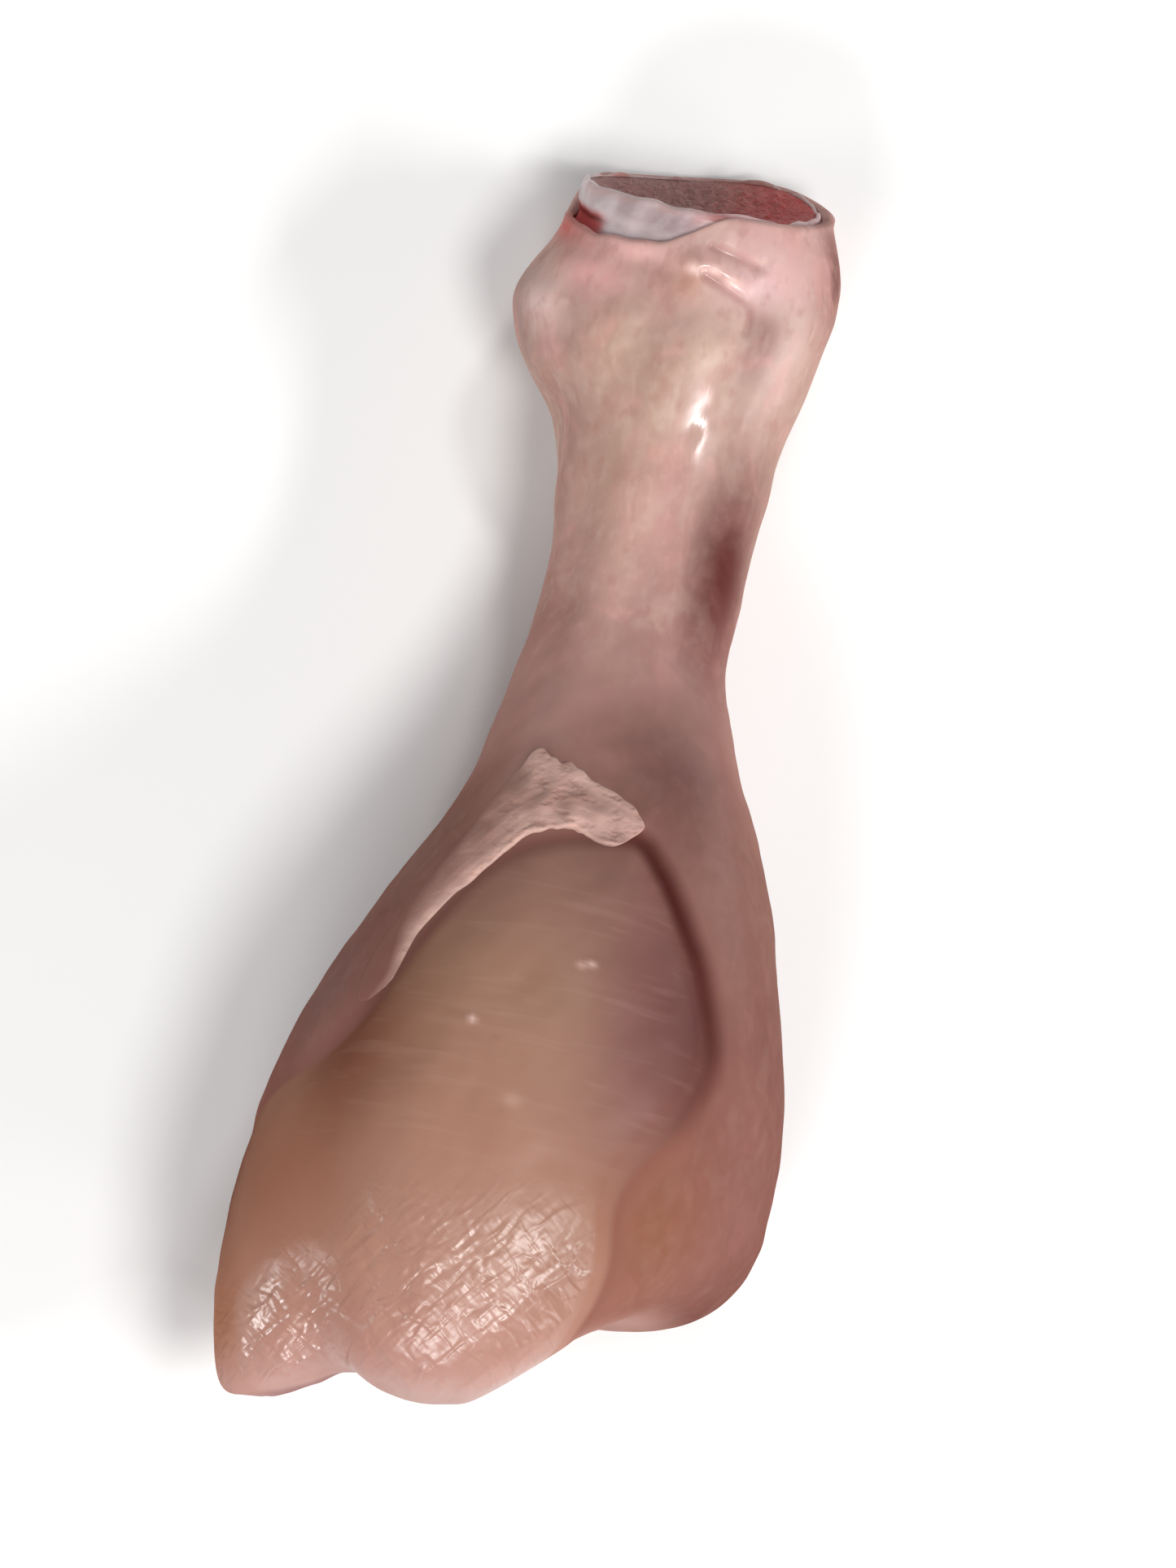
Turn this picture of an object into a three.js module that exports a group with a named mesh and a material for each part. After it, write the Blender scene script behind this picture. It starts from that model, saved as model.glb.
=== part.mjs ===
// A raw chicken drumstick, skinned, lying with its calf muscle up.
// Millimetres. Y runs along the leg, from the knee at -Y to the hock at +Y, where it was cut off.
// Z is up, X is to the right of someone at the knee end, and Z = 0 is what the leg lies on.
import * as THREE from "three";

// Where the middle of the leg's box lies in the coordinates that the sizes below are given in
const MIDDLE_X = 1.34;
const MIDDLE_Y = 6.2;

// Sections of the flesh along the leg: half widths to each side of X = 0, top, bottom, and the
// height of the widest point. A bottom below 0 is pressed flat by the leg's weight.
const SECTIONS = [
  { y: -46, left: 22.2, right: 23.4, top: 37.0, bottom: -0.2, middle: 17.0 },
  { y: -34, left: 21.9, right: 24.4, top: 38.6, bottom: -1.2, middle: 17.0 },
  { y: -24, left: 20.2, right: 24.4, top: 38.9, bottom: -1.5, middle: 17.5 },
  { y: -14, left: 16.8, right: 22.6, top: 37.7, bottom: -1.2, middle: 17.5 },
  { y: -5, left: 12.8, right: 20.1, top: 35.0, bottom: -0.6, middle: 17.0 },
  { y: 3, left: 9.4, right: 17.2, top: 30.9, bottom: 0.3, middle: 15.5 },
  { y: 10, left: 8.2, right: 14.0, top: 26.4, bottom: 1.6, middle: 14.0 },
  { y: 18, left: 7.1, right: 11.0, top: 22.4, bottom: 3.0, middle: 12.6 },
  { y: 26, left: 6.5, right: 10.9, top: 20.6, bottom: 3.2, middle: 12.0 },
  { y: 34, left: 7.3, right: 11.2, top: 20.4, bottom: 2.5, middle: 11.5 },
  { y: 40, left: 8.9, right: 11.7, top: 21.0, bottom: 1.4, middle: 11.2 },
  { y: 45, left: 12.4, right: 12.5, top: 21.9, bottom: 0.3, middle: 11.0 },
  { y: 50, left: 14.0, right: 13.3, top: 22.2, bottom: 0.0, middle: 11.0 },
  { y: 54, left: 13.2, right: 13.9, top: 21.8, bottom: 0.0, middle: 11.0 },
  { y: 58, left: 11.8, right: 13.5, top: 21.2, bottom: 0.3, middle: 11.0 },
  { y: 62, left: 11.8, right: 12.3, top: 20.8, bottom: 0.8, middle: 11.0 },
];
const SECTION_POWER = 2.15;

// The cut through the hock: it crosses the leg's middle at CUT_Y and leans back towards its top.
const CUT_Y = 62.5;
const CUT_LEAN = Math.tan(THREE.MathUtils.degToRad(23));
const CUT_MIDDLE = 11;
const LEAN_START = 38;
const LEAN_END = 58;

// The thick rounded lip of flesh round the knee, past LIP_Y: how far it reaches, and how far it
// leans in from the outer surface to its rim. Each is a base with bells at angles round the leg.
const LIP_Y = -30;
const LIP_POWER = 2.4;
const LIP_REACH = {
  base: 13,
  bells: [
    { by: 1.9, angle: 163, wide: 15 }, // pointed left corner
    { by: -1.3, angle: 133, wide: 9 }, // notch beside it
    { by: 0.8, angle: 100, wide: 18 }, // middle of the calf
    { by: 2.3, angle: 250, wide: 45 }, // underside
    { by: -2.2, angle: 325, wide: 42 }, // rear lobe
  ],
};
const CALF_REACH = { by: 10.4, from: 18, full: 82, fading: 174, to: 208 };
const LIP_LEAN = {
  base: 9.8,
  bells: [
    { by: -6.2, angle: 172, wide: 26 },
    { by: 2.6, angle: 0, wide: 38 },
    { by: -3.5, angle: 265, wide: 36 },
  ],
};

// Bone and joint cartilage: half width, half height and centre of each section. The knee head
// ends at HEAD_Y and the hock end flares out to the cut.
const BONE_SECTIONS = [
  { y: -43, wide: 9.0, high: 7.6, x: 0.5, z: 16.4 },
  { y: -37.5, wide: 9.6, high: 8.4, x: 0.5, z: 16.5 },
  { y: -31, wide: 8.2, high: 7.4, x: 0.9, z: 16.2 },
  { y: -22, wide: 5.2, high: 5.0, x: 1.6, z: 15.4 },
  { y: 0, wide: 4.2, high: 4.2, x: 2.4, z: 13.4 },
  { y: 20, wide: 4.0, high: 4.0, x: 2.1, z: 12.0 },
  { y: 35, wide: 4.8, high: 4.6, x: 1.6, z: 11.4 },
  { y: 42, wide: 7.0, high: 6.6, x: 0.9, z: 11.1 },
  { y: 48, wide: 9.8, high: 8.8, x: 0.3, z: 11.0 },
  { y: 54, wide: 10.7, high: 9.5, x: 0.1, z: 11.0 },
  { y: 62, wide: 10.8, high: 9.2, x: 0.2, z: 11.0 },
];
const HEAD_Y = -43;
const SOCKET_Y = -38;
const GAP = 0.3;

// The face of the knee head: it domes out by this much, with two shallow facets beside a ridge
const HEAD_DOME = 1.3;
const HEAD_FACET = { depth: 1.4, off: 0.5, wide: 0.28 };

// The spongy core: how much smaller than the bone it is, and where it ends inside the knee head
const CORE_END_Y = -32;
const CORE_WALL_SHAFT = 1.9;
const CORE_WALL_CUT = 0.9;
const CORE_WALL_THINS = { from: 44, to: 56 };
const CORE_DISH = 1.4;

// Sides round each piece, and rows along the flesh between one Y and the next
const FLESH_SIDES = 60;
const BONE_SIDES = 36;
const CORE_SIDES = 20;
const FLESH_ROWS = [
  { from: LIP_Y, to: -8, count: 12 },
  { from: -8, to: 6, count: 12 },
  { from: 6, to: 40, count: 15 },
  { from: 40, to: CUT_Y, count: 14 },
];
const LIP_ROWS = 9;
const SOCKET_ROWS = 4;
const BONE_ROWS = [HEAD_Y, -41.5, -39, -36, -31, -26, -18, -5, 15, 30, 37, 41, 45, 49, 54, 58, CUT_Y];
const HEAD_RINGS = [0.3, 0.55, 0.75, 0.9];
const CORE_ROWS = [CORE_END_Y + 3, -20, 10, 34, 40, 44, 48, 52, 57, CUT_Y];
const DISH_RINGS = [0.7, 0.35];

// Outlines drawn on the flesh as if it were unrolled: Y and the angle round the leg in degrees,
// from 0 on the right, over 90 on top, to 180 on the left.
// The big calf muscle:
const CALF_OUTLINE = [
  [-4, 88], [-5.8, 99], [-8.6, 108], [-13, 116], [-18, 123.5], [-22.6, 129.5], [-26, 139],
  [-28.5, 153], [-31, 172], [-36, 190], [-44, 203], [-54, 212], [-64, 214], [-64, 50], [-52, 50],
  [-45, 51.5], [-40.6, 53], [-36, 57], [-32, 54], [-27, 45], [-21, 39], [-15, 41], [-9, 49],
  [-5, 56], [-2.4, 64], [-3, 76],
];
const CALF_CREASE = { depth: 1.4, inside: 3.5, outside: 1.8, leftShare: 0.35, from: 136, to: 156 };
// The torn flap of fascia that lies over the calf muscle's upper end:
const FLAP_OUTLINE = [
  [-0.6, 114], [1.6, 109.5], [3.6, 105.5], [4.8, 101.5], [4.2, 94], [3.5, 86], [2.3, 77.5],
  [1, 67.5], [-0.7, 63], [-2.6, 64.5], [-3.4, 71], [-3.6, 80], [-4.1, 90], [-5.2, 97], [-8, 106],
  [-11.8, 115], [-16.4, 122], [-21.5, 127.5], [-24, 131.5], [-19.5, 133.5], [-14, 131], [-9, 124.5],
  [-4.5, 119.5],
];
const FLAP_THICKNESS = 1.0;
const FLAP_EDGE = 1.2;
const OUTLINE_STEPS = 4;

// The lobe behind the calf muscle lies a little lower than it at the knee end.
const REAR_LOBE = { drop: 0.9, angle: 30, wide: 40, step: 2.5, fade: 8, end: -18, full: -32 };
// The crease between the rear lobe and the muscle under it
const LOWER_CREASE = { depth: 1.3, wide: 2.2, y: -45, angle: 322, turn: -0.25, from: 25, full: 5 };

// Mounds, or hollows where the height is below 0: centre, half length and half width in degrees
const MOUNDS = [
  { height: 0.5, y: 46, angle: 82, long: 7, wide: 20 }, // tendon plate over the knuckle
  { height: -0.7, y: 47, angle: 51, long: 6, wide: 8 }, // groove to its right
  { height: -0.6, y: 49, angle: 137, long: 6, wide: 8 }, // groove to its left
  { height: 0.4, y: 51, angle: 22, long: 8, wide: 22 }, // right side of the knuckle
  { height: 0.5, y: 49.5, angle: 165, long: 4.5, wide: 20 }, // left side of the knuckle
  { height: 0.5, y: 29, angle: 86, long: 12, wide: 13 }, // tendon on the shaft
  { height: -0.8, y: 29, angle: 46, long: 10, wide: 10 }, // groove to its right
  { height: -0.4, y: 27, angle: 118, long: 10, wide: 11 }, // groove to its left
  { height: 0.4, y: 27, angle: 18, long: 12, wide: 14 }, // strand of dark muscle
  { height: -0.9, y: 20, angle: 300, long: 22, wide: 12 }, // grooves beside the shin
  { height: -0.9, y: 22, angle: 235, long: 20, wide: 12 },
  { height: 0.6, y: 56.5, angle: 144, long: 2.2, wide: 13 }, // sheath lifted by the slit
];
// The slit that the lifted sheath leaves over the cartilage
const SLIT = { depth: 1.2, y: 59.5, angle: 146, long: 2.5, wide: 13 };

// How far the sheath has drawn back from the cut: a gap all round and more at the front left
const DRAWN_BACK = { front: 3.5, from: 70, full: 108, fading: 185, to: 215 };
const DRAWN_BACK_BY_SLIT = { by: 0.4, angle: 140, wide: 22 };

// The lower right side of the cut stands out along the leg.
const CUT_BULGE = { by: 1.5, angle: 305, wide: 46 };
// How far from the cut the rows start to follow its shape
const CUT_ROWS = 8;

// A smooth step from 0 to 1 as value goes from start to end
function rise(value, start, end) {
  return THREE.MathUtils.smoothstep(value, start, end);
}

// A bell that is 1 at the centre, on angles in degrees that meet again after a full turn
function bell(angle, centre, width) {
  const off = THREE.MathUtils.euclideanModulo(angle - centre + 180, 360) - 180;
  return Math.exp(-((off / width) ** 2));
}

// A size at Y, read from a list of sections: a cubic curve through them, whose slope at each
// section is that of the line between its two neighbours
function sizeAt(sections, size, y) {
  const last = sections.length - 1;
  const at = THREE.MathUtils.clamp(y, sections[0].y, sections[last].y);
  const i = Math.max(0, sections.findLastIndex((s, n) => s.y <= at && n < last));
  const slope = (n) => {
    const before = sections[Math.max(0, n - 1)];
    const after = sections[Math.min(last, n + 1)];
    return (after[size] - before[size]) / (after.y - before.y);
  };
  const step = sections[i + 1].y - sections[i].y;
  const t = (at - sections[i].y) / step;
  return (
    (1 + 2 * t) * (1 - t) ** 2 * sections[i][size] +
    t * (1 - t) ** 2 * step * slope(i) +
    t * t * (3 - 2 * t) * sections[i + 1][size] +
    t * t * (t - 1) * step * slope(i + 1)
  );
}

// Radius of a flesh section at an angle: four quarters of superellipses that meet at its middle
function sectionRadius(y, angle) {
  const across = Math.cos(angle);
  const up = Math.sin(angle);
  const middle = sizeAt(SECTIONS, "middle", y);
  const wide = sizeAt(SECTIONS, across > 0 ? "right" : "left", y);
  const high = up > 0 ? sizeAt(SECTIONS, "top", y) - middle : middle - sizeAt(SECTIONS, "bottom", y);
  const sum = Math.abs(across / wide) ** SECTION_POWER + Math.abs(up / high) ** SECTION_POWER;
  return sum ** (-1 / SECTION_POWER);
}

// A base value with its bells added
function withBells({ base, bells }, degrees) {
  return bells.reduce((sum, b) => sum + b.by * bell(degrees, b.angle, b.wide), base);
}

// 1 between the angles full and fading, and 0 before from and after to
function span(degrees, { from, full, fading, to }) {
  return rise(degrees, from, full) * (1 - rise(degrees, fading, to));
}

// How far the sheath has drawn back from the cut
function sheathDrawnBack(degrees) {
  const slit = DRAWN_BACK_BY_SLIT;
  return GAP + DRAWN_BACK.front * span(degrees, DRAWN_BACK) + slit.by * bell(degrees, slit.angle, slit.wide);
}

// A row near the hock, moved along the leg by as far as the cut stands out there
function chopped(row, angle) {
  const bulge = CUT_BULGE.by * bell(THREE.MathUtils.radToDeg(angle), CUT_BULGE.angle, CUT_BULGE.wide);
  return row + bulge * rise(row, CUT_Y - CUT_ROWS, CUT_Y);
}

// An outline as a smooth closed loop of points
function smoothLoop(outline) {
  const points = outline.map(([y, degrees]) => new THREE.Vector3(y, degrees, 0));
  const curve = new THREE.CatmullRomCurve3(points, true, "catmullrom", 0.5);
  return curve.getPoints(outline.length * OUTLINE_STEPS).slice(0, -1);
}

const calfLoop = smoothLoop(CALF_OUTLINE);
const flapLoop = smoothLoop(FLAP_OUTLINE);

// Distance in millimetres from a point on the flesh to a loop, above 0 inside it
function depthInside(loop, y, degrees, radius) {
  const scale = THREE.MathUtils.degToRad(radius);
  let nearest = Infinity;
  let within = false;
  loop.forEach((start, n) => {
    const end = loop[(n + 1) % loop.length];
    const alongY = end.x - start.x;
    const around = (end.y - start.y) * scale;
    const toY = y - start.x;
    const toAround = (degrees - start.y) * scale;
    const share = (toY * alongY + toAround * around) / (alongY ** 2 + around ** 2);
    const t = THREE.MathUtils.clamp(share, 0, 1);
    nearest = Math.min(nearest, Math.hypot(toY - t * alongY, toAround - t * around));
    if (start.x > y !== end.x > y) {
      const crossing = start.y + (toY / alongY) * (end.y - start.y);
      if (degrees < crossing) within = !within;
    }
  });
  return within ? nearest : -nearest;
}

// Height of the flesh over its plain section: creases, the flap, the rear lobe and the mounds
function relief(y, degrees, radius) {
  const calf = depthInside(calfLoop, y, degrees, radius);
  const flap = depthInside(flapLoop, y, degrees, radius);
  const spread = calf > 0 ? CALF_CREASE.inside : CALF_CREASE.outside;
  const onLeft = rise(degrees, CALF_CREASE.from, CALF_CREASE.to);
  const share = THREE.MathUtils.lerp(1, CALF_CREASE.leftShare, onLeft);
  let height = -CALF_CREASE.depth * share * Math.exp(-Math.abs(calf) / spread);
  height += FLAP_THICKNESS * rise(flap, -FLAP_EDGE / 2, FLAP_EDGE / 2);

  const behind = rise(-calf, 0, REAR_LOBE.step);
  const fading = Math.exp(-Math.max(0, -calf - REAR_LOBE.step) / REAR_LOBE.fade);
  const lobe = bell(degrees, REAR_LOBE.angle, REAR_LOBE.wide) * rise(-y, -REAR_LOBE.end, -REAR_LOBE.full);
  height -= REAR_LOBE.drop * behind * fading * lobe;

  const line = LOWER_CREASE.angle + LOWER_CREASE.turn * (y - LOWER_CREASE.y);
  const off = THREE.MathUtils.degToRad(degrees - line) * radius;
  const crease = Math.exp(-((off / LOWER_CREASE.wide) ** 2));
  height -= LOWER_CREASE.depth * crease * (1 - rise(y, LOWER_CREASE.full, LOWER_CREASE.from));

  for (const m of MOUNDS) {
    height += m.height * Math.exp(-(((y - m.y) / m.long) ** 2)) * bell(degrees, m.angle, m.wide);
  }
  return height;
}

// Near the hock each ring of points leans more and more, until the last lies in the cut.
function leaned(x, row, z) {
  const lean = CUT_LEAN * rise(row, LEAN_START, LEAN_END);
  return new THREE.Vector3(x, row - lean * (z - CUT_MIDDLE), z);
}

// A point of the flesh's outside, at a row along the leg
function fleshPoint(row, angle) {
  const degrees = THREE.MathUtils.radToDeg(angle);
  const mean =
    (sizeAt(SECTIONS, "left", row) +
      sizeAt(SECTIONS, "right", row) +
      sizeAt(SECTIONS, "top", row) -
      sizeAt(SECTIONS, "bottom", row)) /
    4;
  const radius = sectionRadius(row, angle) + relief(row, degrees, mean);
  const z = Math.max(0, sizeAt(SECTIONS, "middle", row) + radius * Math.sin(angle));
  return leaned(radius * Math.cos(angle), row, z);
}

// A point of the lip: turn goes from 0, where the lip starts, to 1 on its rim
function lipPoint(turn, angle) {
  const degrees = THREE.MathUtils.radToDeg(angle);
  const forward = Math.sin((turn * Math.PI) / 2) ** (2 / LIP_POWER);
  const inward = 1 - Math.cos((turn * Math.PI) / 2) ** (2 / LIP_POWER);
  const reach = withBells(LIP_REACH, degrees) + CALF_REACH.by * span(degrees, CALF_REACH);
  const y = LIP_Y - reach * forward;
  const outside = fleshPoint(y, angle);
  const lean = withBells(LIP_LEAN, degrees) * inward;
  const z = Math.max(0, outside.z - lean * Math.sin(angle));
  return new THREE.Vector3(outside.x - lean * Math.cos(angle), y, z);
}

// A point of the bone's outside, or of a surface that far outside it
function bonePoint(row, angle, outside = 0) {
  const wide = sizeAt(BONE_SECTIONS, "wide", row) + outside;
  const high = sizeAt(BONE_SECTIONS, "high", row) + outside;
  const x = sizeAt(BONE_SECTIONS, "x", row) + wide * Math.cos(angle);
  return leaned(x, row, sizeAt(BONE_SECTIONS, "z", row) + high * Math.sin(angle));
}

// A point of the socket round the knee head, from the lip's rim at share 0 to the bone at share 1
function socketPoint(share, angle) {
  const rim = lipPoint(1, angle);
  const seat = bonePoint(SOCKET_Y, angle, GAP);
  const inward = Math.sin((share * Math.PI) / 2) ** 0.8;
  const back = 1 - Math.cos((share * Math.PI) / 2) ** 1.3;
  return new THREE.Vector3(
    THREE.MathUtils.lerp(rim.x, seat.x, inward),
    THREE.MathUtils.lerp(rim.y, seat.y, back),
    THREE.MathUtils.lerp(rim.z, seat.z, inward),
  );
}

// The spongy core's outside, or that of the hollow it lies in
function corePoint(row, angle, outside = 0) {
  const thinned = rise(row, CORE_WALL_THINS.from, CORE_WALL_THINS.to);
  const wall = THREE.MathUtils.lerp(CORE_WALL_SHAFT, CORE_WALL_CUT, thinned);
  return bonePoint(row, angle, outside - wall);
}

// Points all the way round a ring
function ring(sides, pointAt) {
  return Array.from({ length: sides }, (_, n) => pointAt((n / sides) * 2 * Math.PI));
}

// A geometry of rings joined one to the next. It closes on itself, or is capped by a fan at
// each end round the middle of its first and last ring.
function ringsGeometry(rings, closed) {
  const sides = rings[0].length;
  const points = rings.flat();
  const index = [];
  const joins = closed ? rings.length : rings.length - 1;
  for (let r = 0; r < joins; r++) {
    const here = r * sides;
    const next = ((r + 1) % rings.length) * sides;
    for (let n = 0; n < sides; n++) {
      const m = (n + 1) % sides;
      index.push(here + n, next + n, here + m, here + m, next + n, next + m);
    }
  }
  if (!closed) {
    const last = (rings.length - 1) * sides;
    const middles = [rings[0], rings[rings.length - 1]].map((r) =>
      r.reduce((sum, p) => sum.add(p), new THREE.Vector3()).divideScalar(sides),
    );
    const first = points.push(middles[0]) - 1;
    const end = points.push(middles[1]) - 1;
    for (let n = 0; n < sides; n++) {
      const m = (n + 1) % sides;
      index.push(first, n, m, end, last + m, last + n);
    }
  }
  const geometry = new THREE.BufferGeometry().setFromPoints(points);
  geometry.setIndex(index);
  geometry.computeVertexNormals();
  return geometry;
}

// Rows of the flesh, from the start of the lip to the rim of the sheath at the cut
function fleshRows() {
  const rows = FLESH_ROWS.flatMap(({ from, to, count }) =>
    Array.from({ length: count }, (_, n) => THREE.MathUtils.lerp(from, to, n / count)),
  );
  return [...rows, CUT_Y];
}

// The flesh: over its outside from the lip to the hock, back along the bore that the bone lies
// in, and out over the socket and the lip to where it began
function fleshGeometry() {
  const drawnTo = (row, angle) => {
    const back = sheathDrawnBack(THREE.MathUtils.radToDeg(angle));
    return chopped(row, angle) - back * rise(row, CUT_Y - CUT_ROWS, CUT_Y);
  };
  const outside = fleshRows().map((row) =>
    ring(FLESH_SIDES, (angle) => fleshPoint(drawnTo(row, angle), angle)),
  );
  const boreRows = [SOCKET_Y, ...BONE_ROWS.filter((row) => row > SOCKET_Y)].toReversed();
  const bore = boreRows.map((row) =>
    ring(FLESH_SIDES, (angle) => {
      const open = SLIT.depth * Math.exp(-(((row - SLIT.y) / SLIT.long) ** 2));
      const slit = open * bell(THREE.MathUtils.radToDeg(angle), SLIT.angle, SLIT.wide);
      return bonePoint(drawnTo(row, angle), angle, GAP + slit);
    }),
  );
  const socket = Array.from({ length: SOCKET_ROWS }, (_, n) =>
    ring(FLESH_SIDES, (angle) => socketPoint(1 - (n + 1) / (SOCKET_ROWS + 1), angle)),
  );
  const lip = Array.from({ length: LIP_ROWS }, (_, n) =>
    ring(FLESH_SIDES, (angle) => lipPoint(1 - n / LIP_ROWS, angle)),
  );
  return ringsGeometry([...outside, ...bore, ...socket, ...lip], true);
}

// A ring of the knee head's face, at a share of the way from its middle to its edge
function headRing(share) {
  return ring(BONE_SIDES, (angle) => {
    const edge = bonePoint(HEAD_Y, angle);
    const middle = new THREE.Vector3(BONE_SECTIONS[0].x, HEAD_Y, BONE_SECTIONS[0].z);
    const point = middle.clone().lerp(edge, share);
    const across = Math.abs(point.x - middle.x) / BONE_SECTIONS[0].wide;
    const facet = Math.exp(-(((across - HEAD_FACET.off) / HEAD_FACET.wide) ** 2)) * (1 - share ** 4);
    point.y += HEAD_FACET.depth * facet - HEAD_DOME * (1 - share ** 2);
    return point;
  });
}

// The bone: from the middle of its knee head, along its outside to the cut, and back down the
// hollow that its spongy core fills
function boneGeometry() {
  const head = HEAD_RINGS.map(headRing);
  const outside = BONE_ROWS.map((row) =>
    ring(BONE_SIDES, (angle) => bonePoint(chopped(row, angle), angle)),
  );
  const hollowRows = [...CORE_ROWS.toReversed(), CORE_END_Y - GAP];
  const hollow = hollowRows.map((row) =>
    ring(BONE_SIDES, (angle) => corePoint(chopped(row, angle), angle, GAP)),
  );
  return ringsGeometry([...head, ...outside, ...hollow], false);
}

// The spongy core, from its end inside the knee head to its dished face at the cut
function coreGeometry() {
  const dish = (share) =>
    ring(CORE_SIDES, (angle) => {
      const edge = corePoint(chopped(CUT_Y, angle), angle);
      const middle = leaned(BONE_SECTIONS.at(-1).x, CUT_Y, BONE_SECTIONS.at(-1).z);
      const point = middle.lerp(edge, share);
      point.y -= CORE_DISH * (1 - share ** 2);
      return point;
    });
  const rows = [CORE_END_Y, ...CORE_ROWS];
  const outside = rows.map((row) =>
    ring(CORE_SIDES, (angle) => corePoint(chopped(row, angle), angle)),
  );
  return ringsGeometry([...outside, ...DISH_RINGS.map(dish)], false);
}

function piece(name, geometry, material) {
  const mesh = new THREE.Mesh(geometry, new THREE.MeshStandardMaterial(material));
  mesh.name = name;
  return mesh;
}

const leg = new THREE.Group();
leg.position.set(-MIDDLE_X, -MIDDLE_Y, 0);
leg.add(
  piece("flesh", fleshGeometry(), { color: "#a87a6a", roughness: 0.35, metalness: 0 }),
  piece("bone", boneGeometry(), { color: "#c9bfc6", roughness: 0.3, metalness: 0 }),
  piece("marrow", coreGeometry(), { color: "#84504f", roughness: 0.5, metalness: 0 }),
);

const drumstick = new THREE.Group();
drumstick.add(leg);

export default drumstick;
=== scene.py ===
"""A raw, skinned chicken drumstick that lies on a pale table with its calf muscle up.

Lengths in the lists below are millimetres along (y), across (x) and above (z) the leg, and angles are
degrees round it: 0 on its right, 90 on top, 180 on its left. Meshes are made in metres.
"""

import bpy
import numpy as np
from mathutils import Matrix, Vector


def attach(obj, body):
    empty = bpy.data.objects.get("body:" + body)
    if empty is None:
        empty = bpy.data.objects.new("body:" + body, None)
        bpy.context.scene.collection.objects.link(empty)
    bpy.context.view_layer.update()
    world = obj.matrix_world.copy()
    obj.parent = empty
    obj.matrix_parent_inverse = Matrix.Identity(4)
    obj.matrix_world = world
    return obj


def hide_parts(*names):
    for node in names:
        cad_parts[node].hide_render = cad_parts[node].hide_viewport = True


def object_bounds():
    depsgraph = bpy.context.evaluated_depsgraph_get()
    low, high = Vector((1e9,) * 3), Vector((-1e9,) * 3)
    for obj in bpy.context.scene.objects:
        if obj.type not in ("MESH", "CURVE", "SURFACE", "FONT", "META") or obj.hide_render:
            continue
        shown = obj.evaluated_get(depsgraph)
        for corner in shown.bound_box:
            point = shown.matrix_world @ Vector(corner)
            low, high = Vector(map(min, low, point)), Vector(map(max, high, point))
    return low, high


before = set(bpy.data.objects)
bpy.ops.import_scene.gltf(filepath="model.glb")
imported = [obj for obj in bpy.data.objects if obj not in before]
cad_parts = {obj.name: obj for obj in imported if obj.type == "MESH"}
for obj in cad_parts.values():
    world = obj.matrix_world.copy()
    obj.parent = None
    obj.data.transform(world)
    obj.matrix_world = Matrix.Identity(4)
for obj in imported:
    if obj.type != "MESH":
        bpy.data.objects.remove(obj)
cad_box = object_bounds()

# Camera
# The leg is seen from above its knee end and a little from the right, as a phone sees food on a
# table that someone stands at. A long lens from a metre and a half keeps its proportions.

# Angles in degrees, distances in metres, the sensor in millimetres
VIEW_AZIMUTH = 11.4
VIEW_ELEVATION = 75.0
VIEW_DISTANCE = 1.5
VIEW_HEIGHT = 0.138
LONG_SIDE_OF_SENSOR = 36.0
AIM_TOWARDS_KNEE = 0.001


def direction(azimuth, elevation):
    """Unit vector from the leg towards an azimuth, 0 on the knee's side, and an elevation, in degrees."""
    a, e = np.radians(azimuth), np.radians(elevation)
    return Vector((np.sin(a) * np.cos(e), -np.cos(a) * np.cos(e), np.sin(e)))


leg_low, leg_high = cad_box
leg_middle = (leg_low + leg_high) / 2
aim = Vector((leg_middle.x, leg_middle.y - AIM_TOWARDS_KNEE, leg_middle.z))
camera_data = bpy.data.cameras.new("camera")
camera_data.sensor_width = LONG_SIDE_OF_SENSOR
camera_data.lens = LONG_SIDE_OF_SENSOR * VIEW_DISTANCE / VIEW_HEIGHT
camera = bpy.data.objects.new("camera", camera_data)
towards_camera = direction(VIEW_AZIMUTH, VIEW_ELEVATION)
camera.location = aim + VIEW_DISTANCE * towards_camera
camera.rotation_euler = towards_camera.to_track_quat("Z", "Y").to_euler()
bpy.context.scene.collection.objects.link(camera)
bpy.context.scene.camera = camera

# Light
# Soft room light from all round and windows in front, to both sides and behind, each of which is seen
# as glints in the wet surface that faces it. Colours are shown as they are.
bpy.context.scene.view_settings.view_transform = "Standard"
ROOM_LIGHT = 0.17
ROOM_COLOUR = (0.97, 0.98, 1.0)
SUNNY_WHITE = (1.0, 0.99, 0.97)
DAY_WHITE = (1.0, 0.99, 0.98)
PURE_WHITE = (1.0, 1.0, 1.0)

# Azimuth and elevation in degrees, distance, width and height in metres, watts and colour
WINDOWS = {
    "window_high_up": (44, 60, 0.9, 0.28, 0.22, 4.2, SUNNY_WHITE),
    "window_in_front": (-6, 40, 0.7, 0.20, 0.10, 1.6, DAY_WHITE),
    "window_on_the_left": (-72, 18, 0.7, 0.22, 0.11, 1.6, DAY_WHITE),
    "low_window_on_the_right": (60, 20, 0.7, 0.2, 0.1, 0.6, DAY_WHITE),
    "slit_window_on_the_right": (84, 34, 0.7, 0.3, 0.06, 2.4, PURE_WHITE),
    "window_behind": (158, 56, 0.7, 0.12, 0.07, 0.85, PURE_WHITE),
}

world = bpy.data.worlds.new("room")
world.use_nodes = True
room = world.node_tree.nodes["Background"]
room.inputs["Color"].default_value = (*ROOM_COLOUR, 1.0)
room.inputs["Strength"].default_value = ROOM_LIGHT
bpy.context.scene.world = world


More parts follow.
